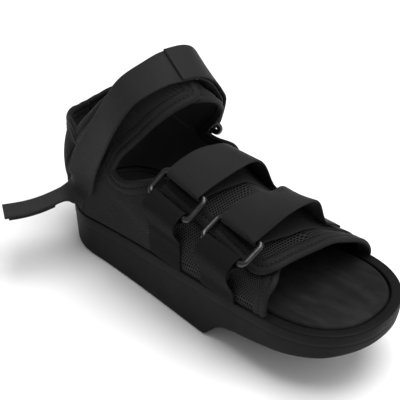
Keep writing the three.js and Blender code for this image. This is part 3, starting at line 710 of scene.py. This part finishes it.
vamp_flap = plate(
    "flap_backing",
    flap_place,
    lambda u, v, at, round_: flap_stand(at, round_),
    lambda u, v, at, round_: flap_stand(at, round_) + wall - net_thick,
    (70, 60),
    backing,
)
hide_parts("vamp_flap")
flap_net = net(
    "flap_net", flap_place, lambda u, v, at, round_: flap_stand(at, round_) + wall, (62, 57)
)

# Quarters and wings
# Two walls round the heel and ankle, sewn together at the back. Each climbs into a wing that crosses in
# front of the ankle, the outer one over the inner one. Mesh covers the front; the heel is padded cloth.
collar_x = (130, 112, 96, 85, 78, 76)
collar_z = (100, 96.5, 90.5, 90, 94, 99.5)
rim_places = ((9, 105), (18, 105.8), (29, 108.6), (53, 124))
wing_back_z = 100.5
wing_reach = 1.0
wing_fade = 2.9
route_scale = (1, 10)
wing_tips = ((108, 154.5), (93, 158.5))
wing_lift = 0.5
lift_ease = 0.3
seam_gap = 0.4
edge_margin = 0.4
seam_room = 0.025
heel_section = 9.0
root_share = 0.5
mesh_share = 0.56
wing_mesh_share = 0.6
heel_fullness = 5.0
full_start = 38.0
full_ease = 18.0
full_height = 66.0
crease_places = (0.3, 0.47, 0.62)
crease_half = 0.09
crease_depth = 0.7
crease_sway = 0.07
crease_turns = 3.5
crease_reach = (0.66, 0.34)
crease_foot = 0.2
rim_rolls = ((1.3, 0.87, 0.075), (0.9, 0.72, 0.07))
rim_end = 0.62
rim_ease = 0.2
sides = {
    "near": {"side": -1, "front": ((83, 113.5), (98.5, 134)), "stand": wall + 5 * clear, "seam": vamp_seam},
    "far": {"side": 1, "front": ((95.5, 126.5),), "stand": 0.0, "seam": flap_rear},
}


def below_rim(at):
    return section_foot(at)[1] - wing_back_z + 2 * clear


heel_at = float(solve(below_rim, np.array(heel_section), np.array(float(last_section))))
collar_at = np.array([locate(x, z)[0] for x, z in zip(collar_x, collar_z)])
wing_root = collar_at[-1]
edge_at = np.linspace(collar_at[0] - edge_margin, heel_at, 160)
collar_row = np.interp(edge_at, collar_at, np.arange(len(collar_at)))
seam_share = np.clip((edge_at - wing_root) / (heel_at - wing_root), 0, 1)
seam_z = mix(collar_z[-1], wing_back_z, seam_share)
edge_z = np.where(edge_at >= wing_root, seam_z, column(collar_z, collar_row))
edge_round_at = round_at(edge_at, edge_z)
seam_round_at = round_at(edge_at, edge_z + seam_gap)


def on_side(side, climb):
    return climb if side < 0 else 2 - climb


def route(places):
    """A smooth line through places on the form, spaced by the root of their distance."""
    stations = np.array(places) * route_scale
    stations = np.concatenate(
        [[2 * stations[0] - stations[1]], stations, [2 * stations[-1] - stations[-2]]]
    )

    def line(k):
        k = np.asarray(k, float) * (len(places) - 1)
        row = np.clip(np.floor(k).astype(int), 0, len(places) - 2)
        k = (k - row)[..., None]
        p, q, r, n = (stations[row + i] for i in range(4))
        first, span, last = (
            np.sqrt(np.linalg.norm(b - a, axis=-1, keepdims=True)) for a, b in ((p, q), (q, r), (r, n))
        )
        leave = span * ((q - p) / first - (r - p) / (first + span) + (r - q) / span)
        arrive = span * ((r - q) / span - (n - q) / (span + last) + (n - r) / last)
        bend = (k**3 - 2 * k**2 + k) * leave + (k**3 - k**2) * arrive
        return (q + (3 * k**2 - 2 * k**3) * (r - q) + bend) / route_scale

    return line


padded_cloth, wire = new_material("padded_cloth")
place = in_space(wire)
knit = place.noise(1500.0, 3.0)
creases = place.noise(34.0, 3.0)
dress(
    padded_cloth,
    Base_Color=(knit * 0.4 + creases * 0.6).colour(grey(0.0025), grey(0.0075)),
    Roughness=knit.between(0.3, 0.7, 0.7, 0.92),
    Specular_IOR_Level=0.1,
    Sheen_Weight=0.02,
    Sheen_Roughness=0.5,
    Normal=(knit + creases * 2.0).bump(0.0003),
)


def roll(place, middle, half):
    """A rounded hump, 1 high in its middle and 0 from half its width on."""
    return np.clip(1 - ((place - middle) / half) ** 2, 0, 1)


def heel_folds(u, v, at, round_):
    """Soft upright creases in the heel's padded cloth."""
    slanted = u + crease_sway * np.sin(crease_turns * v)
    folds = sum(roll(slanted, middle, crease_half) ** 2 for middle in crease_places)
    spot = on_form(at, round_)
    behind_strap = smooth((full_start - spot[..., 0]) / full_ease)
    rise = np.clip((spot[..., 2] - sole_top(spot[..., 0])) / full_height, 0, 1)
    fullness = heel_fullness * behind_strap * np.sin(np.pi * rise)
    depth = crease_depth * roll(v, *crease_reach) * smooth(rise / crease_foot)
    return wall + fullness - depth * folds


def rim_folds(u, v):
    """Two plump folds that lie below the rim where the padding doubles at the heel."""
    low = smooth((rim_end - v) / rim_ease)
    return low * sum(height * roll(u, middle, half) for height, middle, half in rim_rolls)


for name, side in sides.items():

    def quarter_place(u, v, side=side):
        fore = mix(side["seam"] + seam_room, wing_root, np.clip(u / root_share, 0, 1))
        rear = mix(wing_root, heel_at, np.clip((u - root_share) / (1 - root_share), 0, 1))
        at = np.where(u <= root_share, fore, rear)
        climb = np.interp(at, edge_at, edge_round_at) * v
        return at, on_side(side["side"], climb)

    def wing_height(u, v, at, round_, side=side):
        climb = np.minimum(round_, 2 - round_)
        return side["stand"] * smooth((climb - wing_lift) / lift_ease)

    front_end, rear_end = ((locate(x, z)[0], wing_reach) for x, z in wing_tips)
    wing_start = (wing_root, np.interp(wing_root, edge_at, seam_round_at))
    front = route([wing_start, *(locate(x, z) for x, z in side["front"]), front_end])
    rear = route([(heel_at, seam_round_at[-1]), *(locate(x, z) for x, z in rim_places), rear_end])

    def wing_place(u, v, side=side, front=front, rear=rear):
        blend = mix(front(v), rear(v), np.asarray(u)[..., None])
        foot = np.interp(mix(wing_root, heel_at, u), edge_at, seam_round_at)
        straight = mix(np.interp(wing_root, edge_at, seam_round_at), seam_round_at[-1], u)
        climb = blend[..., 1] + (1 - v) ** wing_fade * (foot - straight)
        return blend[..., 0], on_side(side["side"], climb)

    side["front_line"], side["rear_line"] = front, rear
    side["ends"] = (front_end, rear_end)
    side["height"] = wing_height
    quarter = plate(
        f"{name}_quarter_cloth", quarter_place, at_height(0), at_height(wall - net_thick), (120, 30), lining
    )
    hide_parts(f"{name}_quarter")
    fore_net = net(
        f"{name}_quarter_net", lambda u, v: quarter_place(u * mesh_share, v), at_height(wall), (62, 40)
    )
    heel_cloth = plate(
        f"{name}_heel_cloth",
        lambda u, v: quarter_place(mix(mesh_share, 1, u), v),
        at_height(wall - net_thick),
        heel_folds,
        (90, 40),
        padded_cloth,
    )
    wing = plate(
        f"{name}_wing_cloth",
        wing_place,
        wing_height,
        lambda u, v, at, round_: wing_height(u, v, at, round_) + wall - net_thick + rim_folds(u, v),
        (80, 70),
        lining,
    )
    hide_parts(f"{name}_wing")
    wing_net = net(
        f"{name}_wing_net",
        lambda u, v: wing_place(u * wing_mesh_share, v),
        lambda u, v, at, round_: wing_height(u, v, at, round_) + wall,
        (17, 62),
    )

# Bindings
# Padded tape is folded over the free edges of the flap, the vamp, the wings and the quarters, and sewn
# through. The stitch line presses a groove between a plump outer roll and a flatter inner fold.
fold_half = 2.5
fold_lift = 1.1
fold_height = 0.75
bead_middle = 2.7
bead_half = 2.85
bead_height = 1.95
bead_tuck = 0.4
plump_waves = ((0.05, 9.0, 0.0), (0.04, 3.7, 1.0))
groove_height = 1.0
collar_start = 0.25
tape_ends = (0.02, 0.004)
stitch_pitch = 3.3
stitch_length = 2.3
stitch_radius = 0.32
stitch_arch = 0.18
stitch_tip = 0.02
stitch_rings = 7
stitch_sides = 8

tape, wire = new_material("binding_tape")
place = in_space(wire)
rib = split(cloth_place(wire))[1].ribs(0.7)
fibre = place.noise(1400.0, 3.0)
shade = place.noise(70.0, 2.0)
dress(
    tape,
    Base_Color=(fibre * 0.4 + shade * 0.6).colour(grey(0.005), grey(0.012)),
    Roughness=fibre.between(0.3, 0.7, 0.55, 0.78),
    Specular_IOR_Level=0.13,
    Sheen_Weight=0.03,
    Sheen_Roughness=0.35,
    Normal=(rib * 0.25 + fibre).bump(0.00016),
)
thread, wire = new_material("thread")
twist = in_space(wire).noise(2200.0, 2.0)
dress(
    thread,
    Base_Color=twist.colour(grey(0.008), grey(0.02)),
    Roughness=twist.between(0.3, 0.7, 0.4, 0.6),
    Specular_IOR_Level=0.3,
    Normal=twist.bump(0.0001),
)


def sweep(points, across, normal, section):
    """A closed section carried along a line and capped: points, quads and places in the cloth."""
    loop = len(section)
    body = points[:, None] + across[:, None] * section[:, :1] + normal[:, None] * section[:, 1:]
    ends = [body[0].mean(0), body[-1].mean(0)]
    tip = len(points) * loop
    last = tip - loop
    ring = np.arange(loop)
    ahead = np.roll(ring, -1)
    middle = np.full(loop, tip)
    faces = [
        grid(len(points), loop, joined=True),
        np.stack([ahead, ring, middle, middle], -1),
        np.stack([last + ring, last + ahead, middle + 1, middle + 1], -1),
    ]
    along, round_ = reached(points), reached(section)
    cloth = np.stack(np.broadcast_arrays(round_[None, :], along[:, None]), -1).reshape(-1, 2)
    cloth = np.concatenate([cloth, [[0, 0], [0, along[-1]]]])
    return np.concatenate([body.reshape(-1, 3), ends]), np.concatenate(faces), cloth


def tape_section():
    turn = np.linspace(np.pi, 0, 11)
    fold = np.stack([fold_half * (np.cos(turn) - 1), fold_lift + fold_height * np.sin(turn)], -1)
    turn = np.linspace(np.pi - bead_tuck, 0, 12)
    bead = np.stack([bead_middle + bead_half * np.cos(turn), bead_height * np.sin(turn)], -1)
    top = np.concatenate([fold, bead])
    under = top[-2::-1] * (1, -1)
    return np.concatenate([top, under])


def stitches(name, points, along, out):
    """Short threads along a line, each lying in the cloth with its middle raised."""
    reach = reached(points)
    marks = np.arange(stitch_pitch / 2, reach[-1], stitch_pitch)

    def at_marks(rows):
        return np.stack([np.interp(marks, reach, rows[:, i]) for i in range(3)], -1)

    seat, way, up = at_marks(points), unit(at_marks(along)), unit(at_marks(out))
    axes = np.stack([way, np.cross(way, up), up], 1)
    k = np.linspace(-1, 1, stitch_rings)[:, None]
    turn = np.arange(stitch_sides) * 2 * np.pi / stitch_sides
    girth = stitch_radius * np.sqrt(np.maximum(stitch_tip, 1 - k**4))
    shape = np.stack(
        [
            k * stitch_length / 2 + 0 * turn,
            girth * np.cos(turn),
            girth * np.sin(turn) + stitch_arch * (1 - k**2),
        ],
        -1,
    ).reshape(-1, 3)
    body = seat[:, None] + shape @ axes
    caps = np.array([[7, 6, 5, 4], [7, 4, 3, 0], [3, 2, 1, 0]])
    last = (stitch_rings - 1) * stitch_sides
    one = np.concatenate([grid(stitch_rings, stitch_sides, joined=True), caps, (last + caps)[:, ::-1]])
    faces = one + np.arange(len(marks))[:, None, None] * len(shape)
    add_piece(name, body.reshape(-1, 3), faces.reshape(-1, 4), thread)


def bind(name, node, at, round_, height, outward):
    """Tape along an edge given by its places, with a line of stitches in its groove."""
    edge = lift(at, round_, height)
    normal = form_frame(at, round_)[2]
    along = unit(np.gradient(edge, axis=0))
    across = unit(np.cross(along, normal)) * outward
    for _ in range(3):
        across[1:-1] = unit(across[:-2] + across[1:-1] + across[2:])
    reach = reached(edge)
    plump = 1 + sum(share * np.sin(reach / length + start) for share, length, start in plump_waves)
    middle = edge + across * clear
    points, faces, cloth = sweep(middle, across, normal * plump[:, None], tape_section())
    piece = weld(add_piece(name, above_sole(points), faces, tape, cloth))
    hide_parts(node)
    stitches(f"{name}_stitches", middle + normal * groove_height, along, normal)


k = np.linspace(0, 1, 50)
at, round_ = vamp_place(0 * k, k)
bind("toe_tape", "toe_binding", at, round_, wall / 2 + 0 * k, 1)

k = np.linspace(0, 1, 80)
free_at, free_round = flap_place(0 * k, 1 - k)
fore_at, fore_round = flap_place(np.linspace(0, 1, 120)[1:], np.zeros(119))
at, round_ = np.concatenate([free_at, fore_at]), np.concatenate([free_round, fore_round])
bind("flap_tape", "flap_binding", at, round_, flap_stand(at, round_) + wall / 2, 1)

for name, side in sides.items():
    collar = np.linspace(side["seam"] + collar_start, wing_root, 50)
    k = np.linspace(0, 1, 70)
    places = np.concatenate(
        [
            np.stack([collar, np.interp(collar, edge_at, edge_round_at)], -1),
            side["front_line"](k[1:]),
            mix(*(np.array(end) for end in side["ends"]), np.linspace(0, 1, 10)[1:, None]),
            side["rear_line"](k[-2::-1]),
            [(heel_at, climb) for climb in tape_ends],
        ]
    )
    at, round_ = places[:, 0], on_side(side["side"], places[:, 1])
    height = side["height"](0, 0, at, round_) + wall / 2
    bind(f"{name}_tape", f"{name}_binding", at, round_, height, -side["side"])

# Forefoot fastenings
# Two rectangular rings of gloss black plastic, each held by a folded webbing tab on the outer side. A strap
# of brushed loop webbing, sewn on the inner side, goes through each ring and folds back over itself.
strap_width = 33.0
strap_thick = 1.6
bar_radius = 2.2
ring_stand = 14.0
ring_tip = 2.5
ring_span = 13.5
ring_spare = 1.6
ring_corner = 4.0
ring_sides = 18
tab_thick = 1.3
tab_spare = 1.0
tab_foot = 0.01
tab_fold = 12.0
tab_apart = 2.7
tab_closed = 10.0
tab_slope = 26.0
tab_settle = 36.0
strap_foot = 1.985
strap_ease = 0.3
strap_passes = 12
bridge_height = 2.2
bridge_start = 0.2
bridge_end = 1.5
bridge_fade = 0.5
under_tilt = 0.07
under_tilt_at = (1.25, 0.35)
arch_share = 0.8
arch_power = 1.2
level_start = 0.4
level_fade = 0.45
tilt_at = (0.62, 0.38)
fastenings = {
    "rear": {"along": (-1, 0.1, 0.1), "bow": 7.5, "roll": 0.0, "tilt": 0.17, "end": 1.62},
    "front": {"along": (-1, 0.1, 0.03), "bow": 13, "roll": 0.2, "tilt": 0.14, "end": 1.5},
}

plastic, wire = new_material("ring_plastic")
place = in_space(wire)
wear = place.noise(160.0, 3.0)
fine = place.noise(900.0, 2.0)
dress(
    plastic,
    Base_Color=wear.colour(grey(0.002), grey(0.005)),
    Roughness=(wear * 0.6 + fine * 0.4).between(0.3, 0.7, 0.22, 0.42),
    Specular_IOR_Level=0.6,
    Normal=fine.bump(0.00004),
)
loop_pile, wire = new_material("loop_pile")
place = in_space(wire)
pile = place.noise(1250.0, 4.0)
cords = split(cloth_place(wire))[0].ribs(1.15, pile * 1.5)
drift = place.noise(48.0, 3.0)
dress(
    loop_pile,
    Base_Color=(pile * 0.4 + drift * 0.35 + cords * 0.06).colour(grey(0.006), grey(0.021)),
    Roughness=pile.between(0.3, 0.7, 0.6, 0.85),
    Specular_IOR_Level=0.15,
    Sheen_Weight=0.05,
    Sheen_Roughness=0.4,
    Normal=(pile + cords * 0.12).bump(0.00022),
)
webbing, wire = new_material("woven_webbing")
across_band, along_band = split(cloth_place(wire))
place = in_space(wire)
picks = along_band.ribs(1.3)
ends = across_band.ribs(1.0)
hair = place.noise(1500.0, 3.0)
dress(
    webbing,
    Base_Color=(picks * 0.16 + ends * 0.08 + hair * 0.5 + 0.2).colour(grey(0.003), grey(0.011)),
    Roughness=hair.between(0.3, 0.7, 0.5, 0.75),
    Specular_IOR_Level=0.05,
    Normal=(picks * 0.6 + ends * 0.3 + hair * 0.5).bump(0.00022),
)


def band_section(width, thick):
    """A flat band's section with round edges."""
    flat = np.linspace(-width / 2 + thick / 2, width / 2 - thick / 2, 13)
    turn = np.linspace(-np.pi / 2, np.pi / 2, 7)[1:-1]
    right = np.stack([flat[-1] + thick / 2 * np.cos(turn), thick / 2 * np.sin(turn)], -1)
    lower = np.stack([flat, np.full(13, -thick / 2)], -1)
    return np.concatenate([lower, right, lower[::-1] * (1, -1), -right])


def band(name, node, points, across, width, thick, material):
    """A band along a line of points, with the direction across it at each."""
    along = unit(np.gradient(points, axis=0))
    across = unit(across - along * np.einsum("ij,ij->i", along, across)[:, None])
    normal = np.cross(along, across)
    points, faces, cloth = sweep(points, across, normal, band_section(width, thick))
    piece = weld(add_piece(name, points, faces, material, cloth))
    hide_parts(node)
    return piece


def eased(rows, passes):
    """Rows drawn towards their neighbours, so that a band has no kinks."""
    for _ in range(passes):
        rows = np.concatenate([rows[:1], (rows[:-2] + 2 * rows[1:-1] + rows[2:]) / 4, rows[-1:]])
    return rows


def add_ring(name, node, lower, upper, lower_across, lower_normal, width):
    """A ring between its lower and upper bars; returns the directions that its bands follow."""
    rise = unit(upper - lower)
    along = unit(lower_across - rise * (lower_across @ rise))
    normal = np.cross(along, rise)
    normal = normal if normal @ lower_normal > 0 else -normal
    reach = np.array([width / 2 + ring_spare + bar_radius, np.linalg.norm(upper - lower) / 2])
    half = reach - ring_corner
    angles = (np.arange(4)[:, None] + np.linspace(0, 1, 12)) * np.pi / 2
    signs = np.array([[1, 1], [-1, 1], [-1, -1], [1, -1]])
    out = np.cos(angles)[..., None] * along + np.sin(angles)[..., None] * rise
    corner = (signs[:, :1] * half[0]) * along + (signs[:, 1:] * half[1]) * rise
    path = ((lower + upper) / 2 + corner[:, None] + out * ring_corner).reshape(-1, 3)
    out = out.reshape(-1, 3)
    turn = np.arange(ring_sides)[:, None] * 2 * np.pi / ring_sides
    body = path[:, None] + bar_radius * (np.cos(turn) * out[:, None] + np.sin(turn) * normal)
    faces = grid(len(path) + 1, ring_sides, joined=True) % (len(path) * ring_sides)
    ring = add_piece(name, body.reshape(-1, 3), faces, plastic)
    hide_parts(node)
    return {"lower": lower, "upper": upper, "along": along, "rise": rise, "normal": normal}


def turn_round(ring, bar, radius, towards):
    angle = np.linspace(0, np.pi, 20)[:, None]
    return bar + radius * (np.cos(angle) * ring["normal"] + towards * np.sin(angle) * ring["rise"])


def add_tab(name, node, ring, at, places, length, stand, width):
    """A tab from its sewn end up round the ring's lower bar and back down inside."""
    radius = bar_radius + clear + tab_thick / 2
    seat = wall + clear + tab_thick / 2
    double = seat + tab_thick + clear

    def outer(below):
        slope = mix(stand + radius, double, smooth(below / tab_slope))
        return mix(slope, seat, smooth((below - tab_slope) / (tab_settle - tab_slope)))

    def layer(below, apart):
        round_ = places(below)
        _, across, normal = form_frame(at, round_)
        lying = on_form(at, round_) + normal * (outer(below) - apart)[:, None]
        hung = ring["lower"] - ring["rise"] * below[:, None] + ring["normal"] * (radius - apart)[:, None]
        pulled = smooth(1 - below / tab_slope)[:, None]
        return mix(lying, hung, pulled), mix(across, ring["along"], pulled)

    down = length * np.linspace(1, 0, 60)[:-1]
    back = tab_fold * np.linspace(0, 1, 16)[1:]
    turn = turn_round(ring, ring["lower"], radius, 1)
    inner = layer(back, mix(2 * radius, tab_apart, smooth(back / tab_closed)))
    parts = [layer(down, 0 * down), (turn, np.tile(ring["along"], (len(turn), 1))), inner]
    points, across = (np.concatenate(p) for p in zip(*parts))
    piece = band(name, node, points, across, width - tab_spare, tab_thick, webbing)


for name, row in fastenings.items():
    at = section_at(ring_x[name])
    bar_climb = float(round_at(at, ring_z[name]))
    upper_climb = float(further_round(at, bar_climb, ring_span))
    bar_along = unit(np.array(row["along"]))
    lower_normal, upper_normal = (form_frame(at, climb)[2] for climb in (bar_climb, upper_climb))
    lower = on_form(at, bar_climb) + lower_normal * (ring_stand + ring_tip)
    upper = on_form(at, upper_climb) + upper_normal * ring_stand
    shift = bar_along * (bar_along @ (lower - upper))
    upper = upper + shift
    ring = add_ring(f"{name}_ring", f"ring_{name}", lower, upper, bar_along, lower_normal, strap_width)
    length = float(np.linalg.norm(on_form(at, tab_foot) - on_form(at, bar_climb)))
    add_tab(
        f"{name}_tab",
        f"tab_{name}",
        ring,
        at,
        lambda below: mix(bar_climb, tab_foot, below / length),
        length,
        ring_stand + ring_tip,
        strap_width,
    )
    radius = bar_radius + 2 * clear + strap_thick / 2

    def strap_low(round_):
        bridge = smooth((round_ - upper_climb) / bridge_start) * smooth((bridge_end - round_) / bridge_fade)
        over_flap = flap_height(round_) + wall + clear + strap_thick / 2 + bridge_height * bridge
        return mix(over_flap, ring_stand - radius, smooth(1 - (round_ - upper_climb) / strap_ease))

    def drawn(round_, height):
        _, across, normal = form_frame(at, round_)
        aside = shift * smooth(1 - (round_ - upper_climb) / strap_ease)[:, None]
        return on_form(at, round_) + normal * height[:, None] + aside, across

    k = np.linspace(0, 1, 90)
    round_ = mix(strap_foot, upper_climb, k)
    under, across = drawn(round_, strap_low(round_))
    under_across = mix(across, ring["along"], smooth((k - 1 + strap_ease) / strap_ease)[:, None])
    under_across += under_tilt * roll(round_, *under_tilt_at)[:, None] * form_frame(at, round_)[2]
    k = np.linspace(0, 1, 80)
    round_ = mix(upper_climb, row["end"], k)
    arch = np.clip(k / arch_share, 0, 1)
    bow = row["bow"] * np.sin(np.pi * arch) ** arch_power
    apart = mix(2 * radius, strap_thick + clear, smooth(arch)) + bow
    over, across = drawn(round_, strap_low(round_) + apart)
    flat_way = unit(np.array([ring["along"][0], ring["along"][1], row["roll"] * ring["along"][0]]))
    over_across = mix(across, ring["along"], smooth(1 - k / strap_ease)[:, None])
    levelled = smooth(k / level_start) * smooth((arch_share - k) / level_fade)
    over_across = mix(over_across, flat_way, levelled[:, None])
    over_across -= row["tilt"] * roll(k, *tilt_at)[:, None] * form_frame(at, round_)[2]
    turn = turn_round(ring, ring["upper"], radius, -1)[::-1]
    points = np.concatenate([under[:-1], turn, over[1:]])
    across = np.concatenate([under_across[:-1], np.tile(ring["along"], (len(turn), 1)), over_across[1:]])
    points, across = eased(points, strap_passes), eased(across, strap_passes)
    strap = band(f"{name}_strap", f"strap_{name}", points, across, strap_width, strap_thick, loop_pile)

# Ankle strap
# A long strap of the same webbing: its free tail stands out on the outer side, and it climbs the outer
# wing, crosses the ankle, goes through a ring on the inner side and folds back to end on top.
ankle_width = 27.0
ankle_thick = 1.7
ankle_shift = 1.5
ankle_passes = 6
ankle_line = np.array(
    [
        (40.5, -47.5, 73),
        (50.5, -49.5, 98.5),
        (62, -49, 121.5),
        (72.5, -45.5, 144),
        (81.5, -36, 165.5),
        (91, -18.5, 176),
        (96, -1.2, 178.6),
        (98.5, 14.5, 175),
        (96.5, 28, 162),
        (92.6, 41.8, 138),
    ]
)
ankle_across = np.array(
    [
        (28, -3, 8),
        (28, -4, 7),
        (27, -6, 5),
        (27, -9, 1),
        (26, -9, -4),
        (25, -9, -7),
        (24, -10, -12.5),
        (23, -8, -13),
        (22, -3, -14),
        (22, 0, -12),
    ]
)
fold_end = 0.7
fold_gaps = (1.95, 3.4)
fold_dive = 0.14
fold_overlap = 0.05
tail_bend = 11.0
tail_length = 46.0
ankle_stand = 8.2
ankle_ring_x = 105
ankle_bar_z = 98
ankle_tab_z = 68
ring_raise = 4.4
ring_trim = 1.6
tail_sag = 3.0
tail_aim = unit(np.array([-0.55, -0.81, -0.2]))
tail_across = unit(np.array([20.4, -15.9, 7.3]))

at = section_at(ankle_ring_x)
bar_climb = float(further_round(at, float(round_at(at, ankle_bar_z)), ring_raise))
upper_climb = float(further_round(at, bar_climb, ring_span - ring_raise))
frames = [form_frame(at, 2 - climb) for climb in (bar_climb, upper_climb)]
bars = [on_form(at, 2 - c) + f[2] * ankle_stand for c, f in zip((bar_climb, upper_climb), frames)]
ring = add_ring("ankle_ring", "ring_ankle", *bars, frames[0][1], frames[0][2], ankle_width - ring_trim)
foot_climb = float(round_at(at, ankle_tab_z))
length = float(np.linalg.norm(on_form(at, foot_climb) - on_form(at, bar_climb)))
add_tab(
    "ankle_tab",
    "tab_ankle",
    ring,
    at,
    lambda below: 2 - mix(bar_climb, foot_climb, below / length),
    length,
    ankle_stand,
    ankle_width,
)
k = np.linspace(0, 1, 121)
row = k * (len(ankle_line) - 1)
line = np.stack([column(ankle_line[:, i], row) for i in range(3)], -1)
line_across = unit(np.stack([column(ankle_across[:, i], row) for i in range(3)], -1))
line = line + line_across * ankle_shift
down = unit(line[0] - line[1])
out = unit(tail_aim - down * (tail_aim @ down))
angle = np.linspace(0, np.pi / 2, 20)[1:, None]
bend = line[0] + out * tail_bend * (1 - np.cos(angle)) + down * tail_bend * np.sin(angle)
square_across = unit(line_across[0] - down * (line_across[0] @ down))
bend_across = unit(mix(square_across, tail_across, angle / (np.pi / 2)))


def on_tail(share):
    sag = np.array([0, 0, tail_sag]) * np.sin(np.pi * share)
    return bend[-1] + tail_aim * tail_length * share - sag


tail = on_tail(np.linspace(0, 1, 40)[1:, None])
gap = mix(*fold_gaps, np.clip((k - fold_end) / (1 - fold_end), 0, 1))
dive = gap * smooth((k - fold_end + fold_dive) / fold_dive)
inward = unit(np.cross(np.gradient(line, axis=0), line_across))
lower = line + inward * dive[:, None]
folded = k > fold_end - fold_overlap
upper = (line + inward * (dive - gap)[:, None])[folded][::-1]
radius = bar_radius + clear + ankle_thick / 2
turn = turn_round(ring, ring["upper"], radius, -1)[::-1]
points = np.concatenate([tail[::-1], bend[::-1], lower, turn, upper])
across = np.concatenate(
    [
        np.tile(tail_across, (len(tail), 1)),
        bend_across[::-1],
        line_across,
        np.tile(-ring["along"], (len(turn), 1)),
        line_across[folded][::-1],
    ]
)
points, across = eased(points, ankle_passes), eased(across, ankle_passes)
ankle_strap = band("ankle_band", "ankle_strap", points, across, ankle_width, ankle_thick, loop_pile)

# Hook patch
# A piece of hook tape sewn under the tail, which grips the strap's loop pile when the tail is turned
# back. Its face is a field of small stiff hooks.
patch_width = 25.0
patch_thick = 1.4
patch_span = (0.15, 0.93)
hook_pitch = 1.5

hooks, wire = new_material("hook_tape")
across_band, along_band = split(cloth_place(wire))
hook_rows = across_band.ribs(hook_pitch)
hook_steps = along_band.ribs(hook_pitch)
tangle = in_space(wire).noise(1800.0, 2.0)
dress(
    hooks,
    Base_Color=tangle.colour(grey(0.003), grey(0.009)),
    Roughness=tangle.between(0.3, 0.7, 0.4, 0.65),
    Specular_IOR_Level=0.3,
    Normal=(hook_rows * hook_steps + tangle).bump(0.0004),
)
patch = on_tail(np.linspace(*patch_span, 30)[:, None])
patch[:, 2] -= (ankle_thick + patch_thick) / 2 + 2 * clear
across = np.tile(tail_across, (len(patch), 1))
hook_patch = band("hook_tape", "hook_patch", patch, across, patch_width, patch_thick, hooks)

# Floor and light
# A plain white floor, a bright soft sky and two large soft lamps, as in a studio picture on white.
floor_half = 20.0
floor_corners = ((-1, -1), (1, -1), (1, 1), (-1, 1))
sky_strength = 0.4

floor_mesh = bpy.data.meshes.new("floor")
floor_points = [(x * floor_half, y * floor_half, 0) for x, y in floor_corners]
floor_mesh.from_pydata(floor_points, [], [(0, 1, 2, 3)])
floor = bpy.data.objects.new("floor", floor_mesh)
bpy.context.scene.collection.objects.link(floor)
paper, _ = new_material("paper")
dress(paper, Base_Color=grey(0.93, 1.0), Roughness=0.9)
floor_mesh.materials.append(paper)

sky = bpy.data.worlds.new("sky")
bpy.context.scene.world = sky
sky.use_nodes = True
backdrop = sky.node_tree.nodes["Background"]
backdrop.inputs["Color"].default_value = grey(1.0, 1.0)
backdrop.inputs["Strength"].default_value = sky_strength


def add_lamp(name, place, power, size):
    lamp = bpy.data.lights.new(name, "AREA")
    lamp.energy = power
    lamp.size = size
    thing = bpy.data.objects.new(name, lamp)
    thing.location = place
    thing.rotation_euler = Vector(place).to_track_quat("Z", "Y").to_euler()
    bpy.context.scene.collection.objects.link(thing)


add_lamp("key", (0.25, 0.18, 1.6), 32.0, 1.3)
add_lamp("side", (1.1, 0.3, 0.9), 3.0, 0.7)
bpy.context.scene.view_settings.view_transform = "Standard"
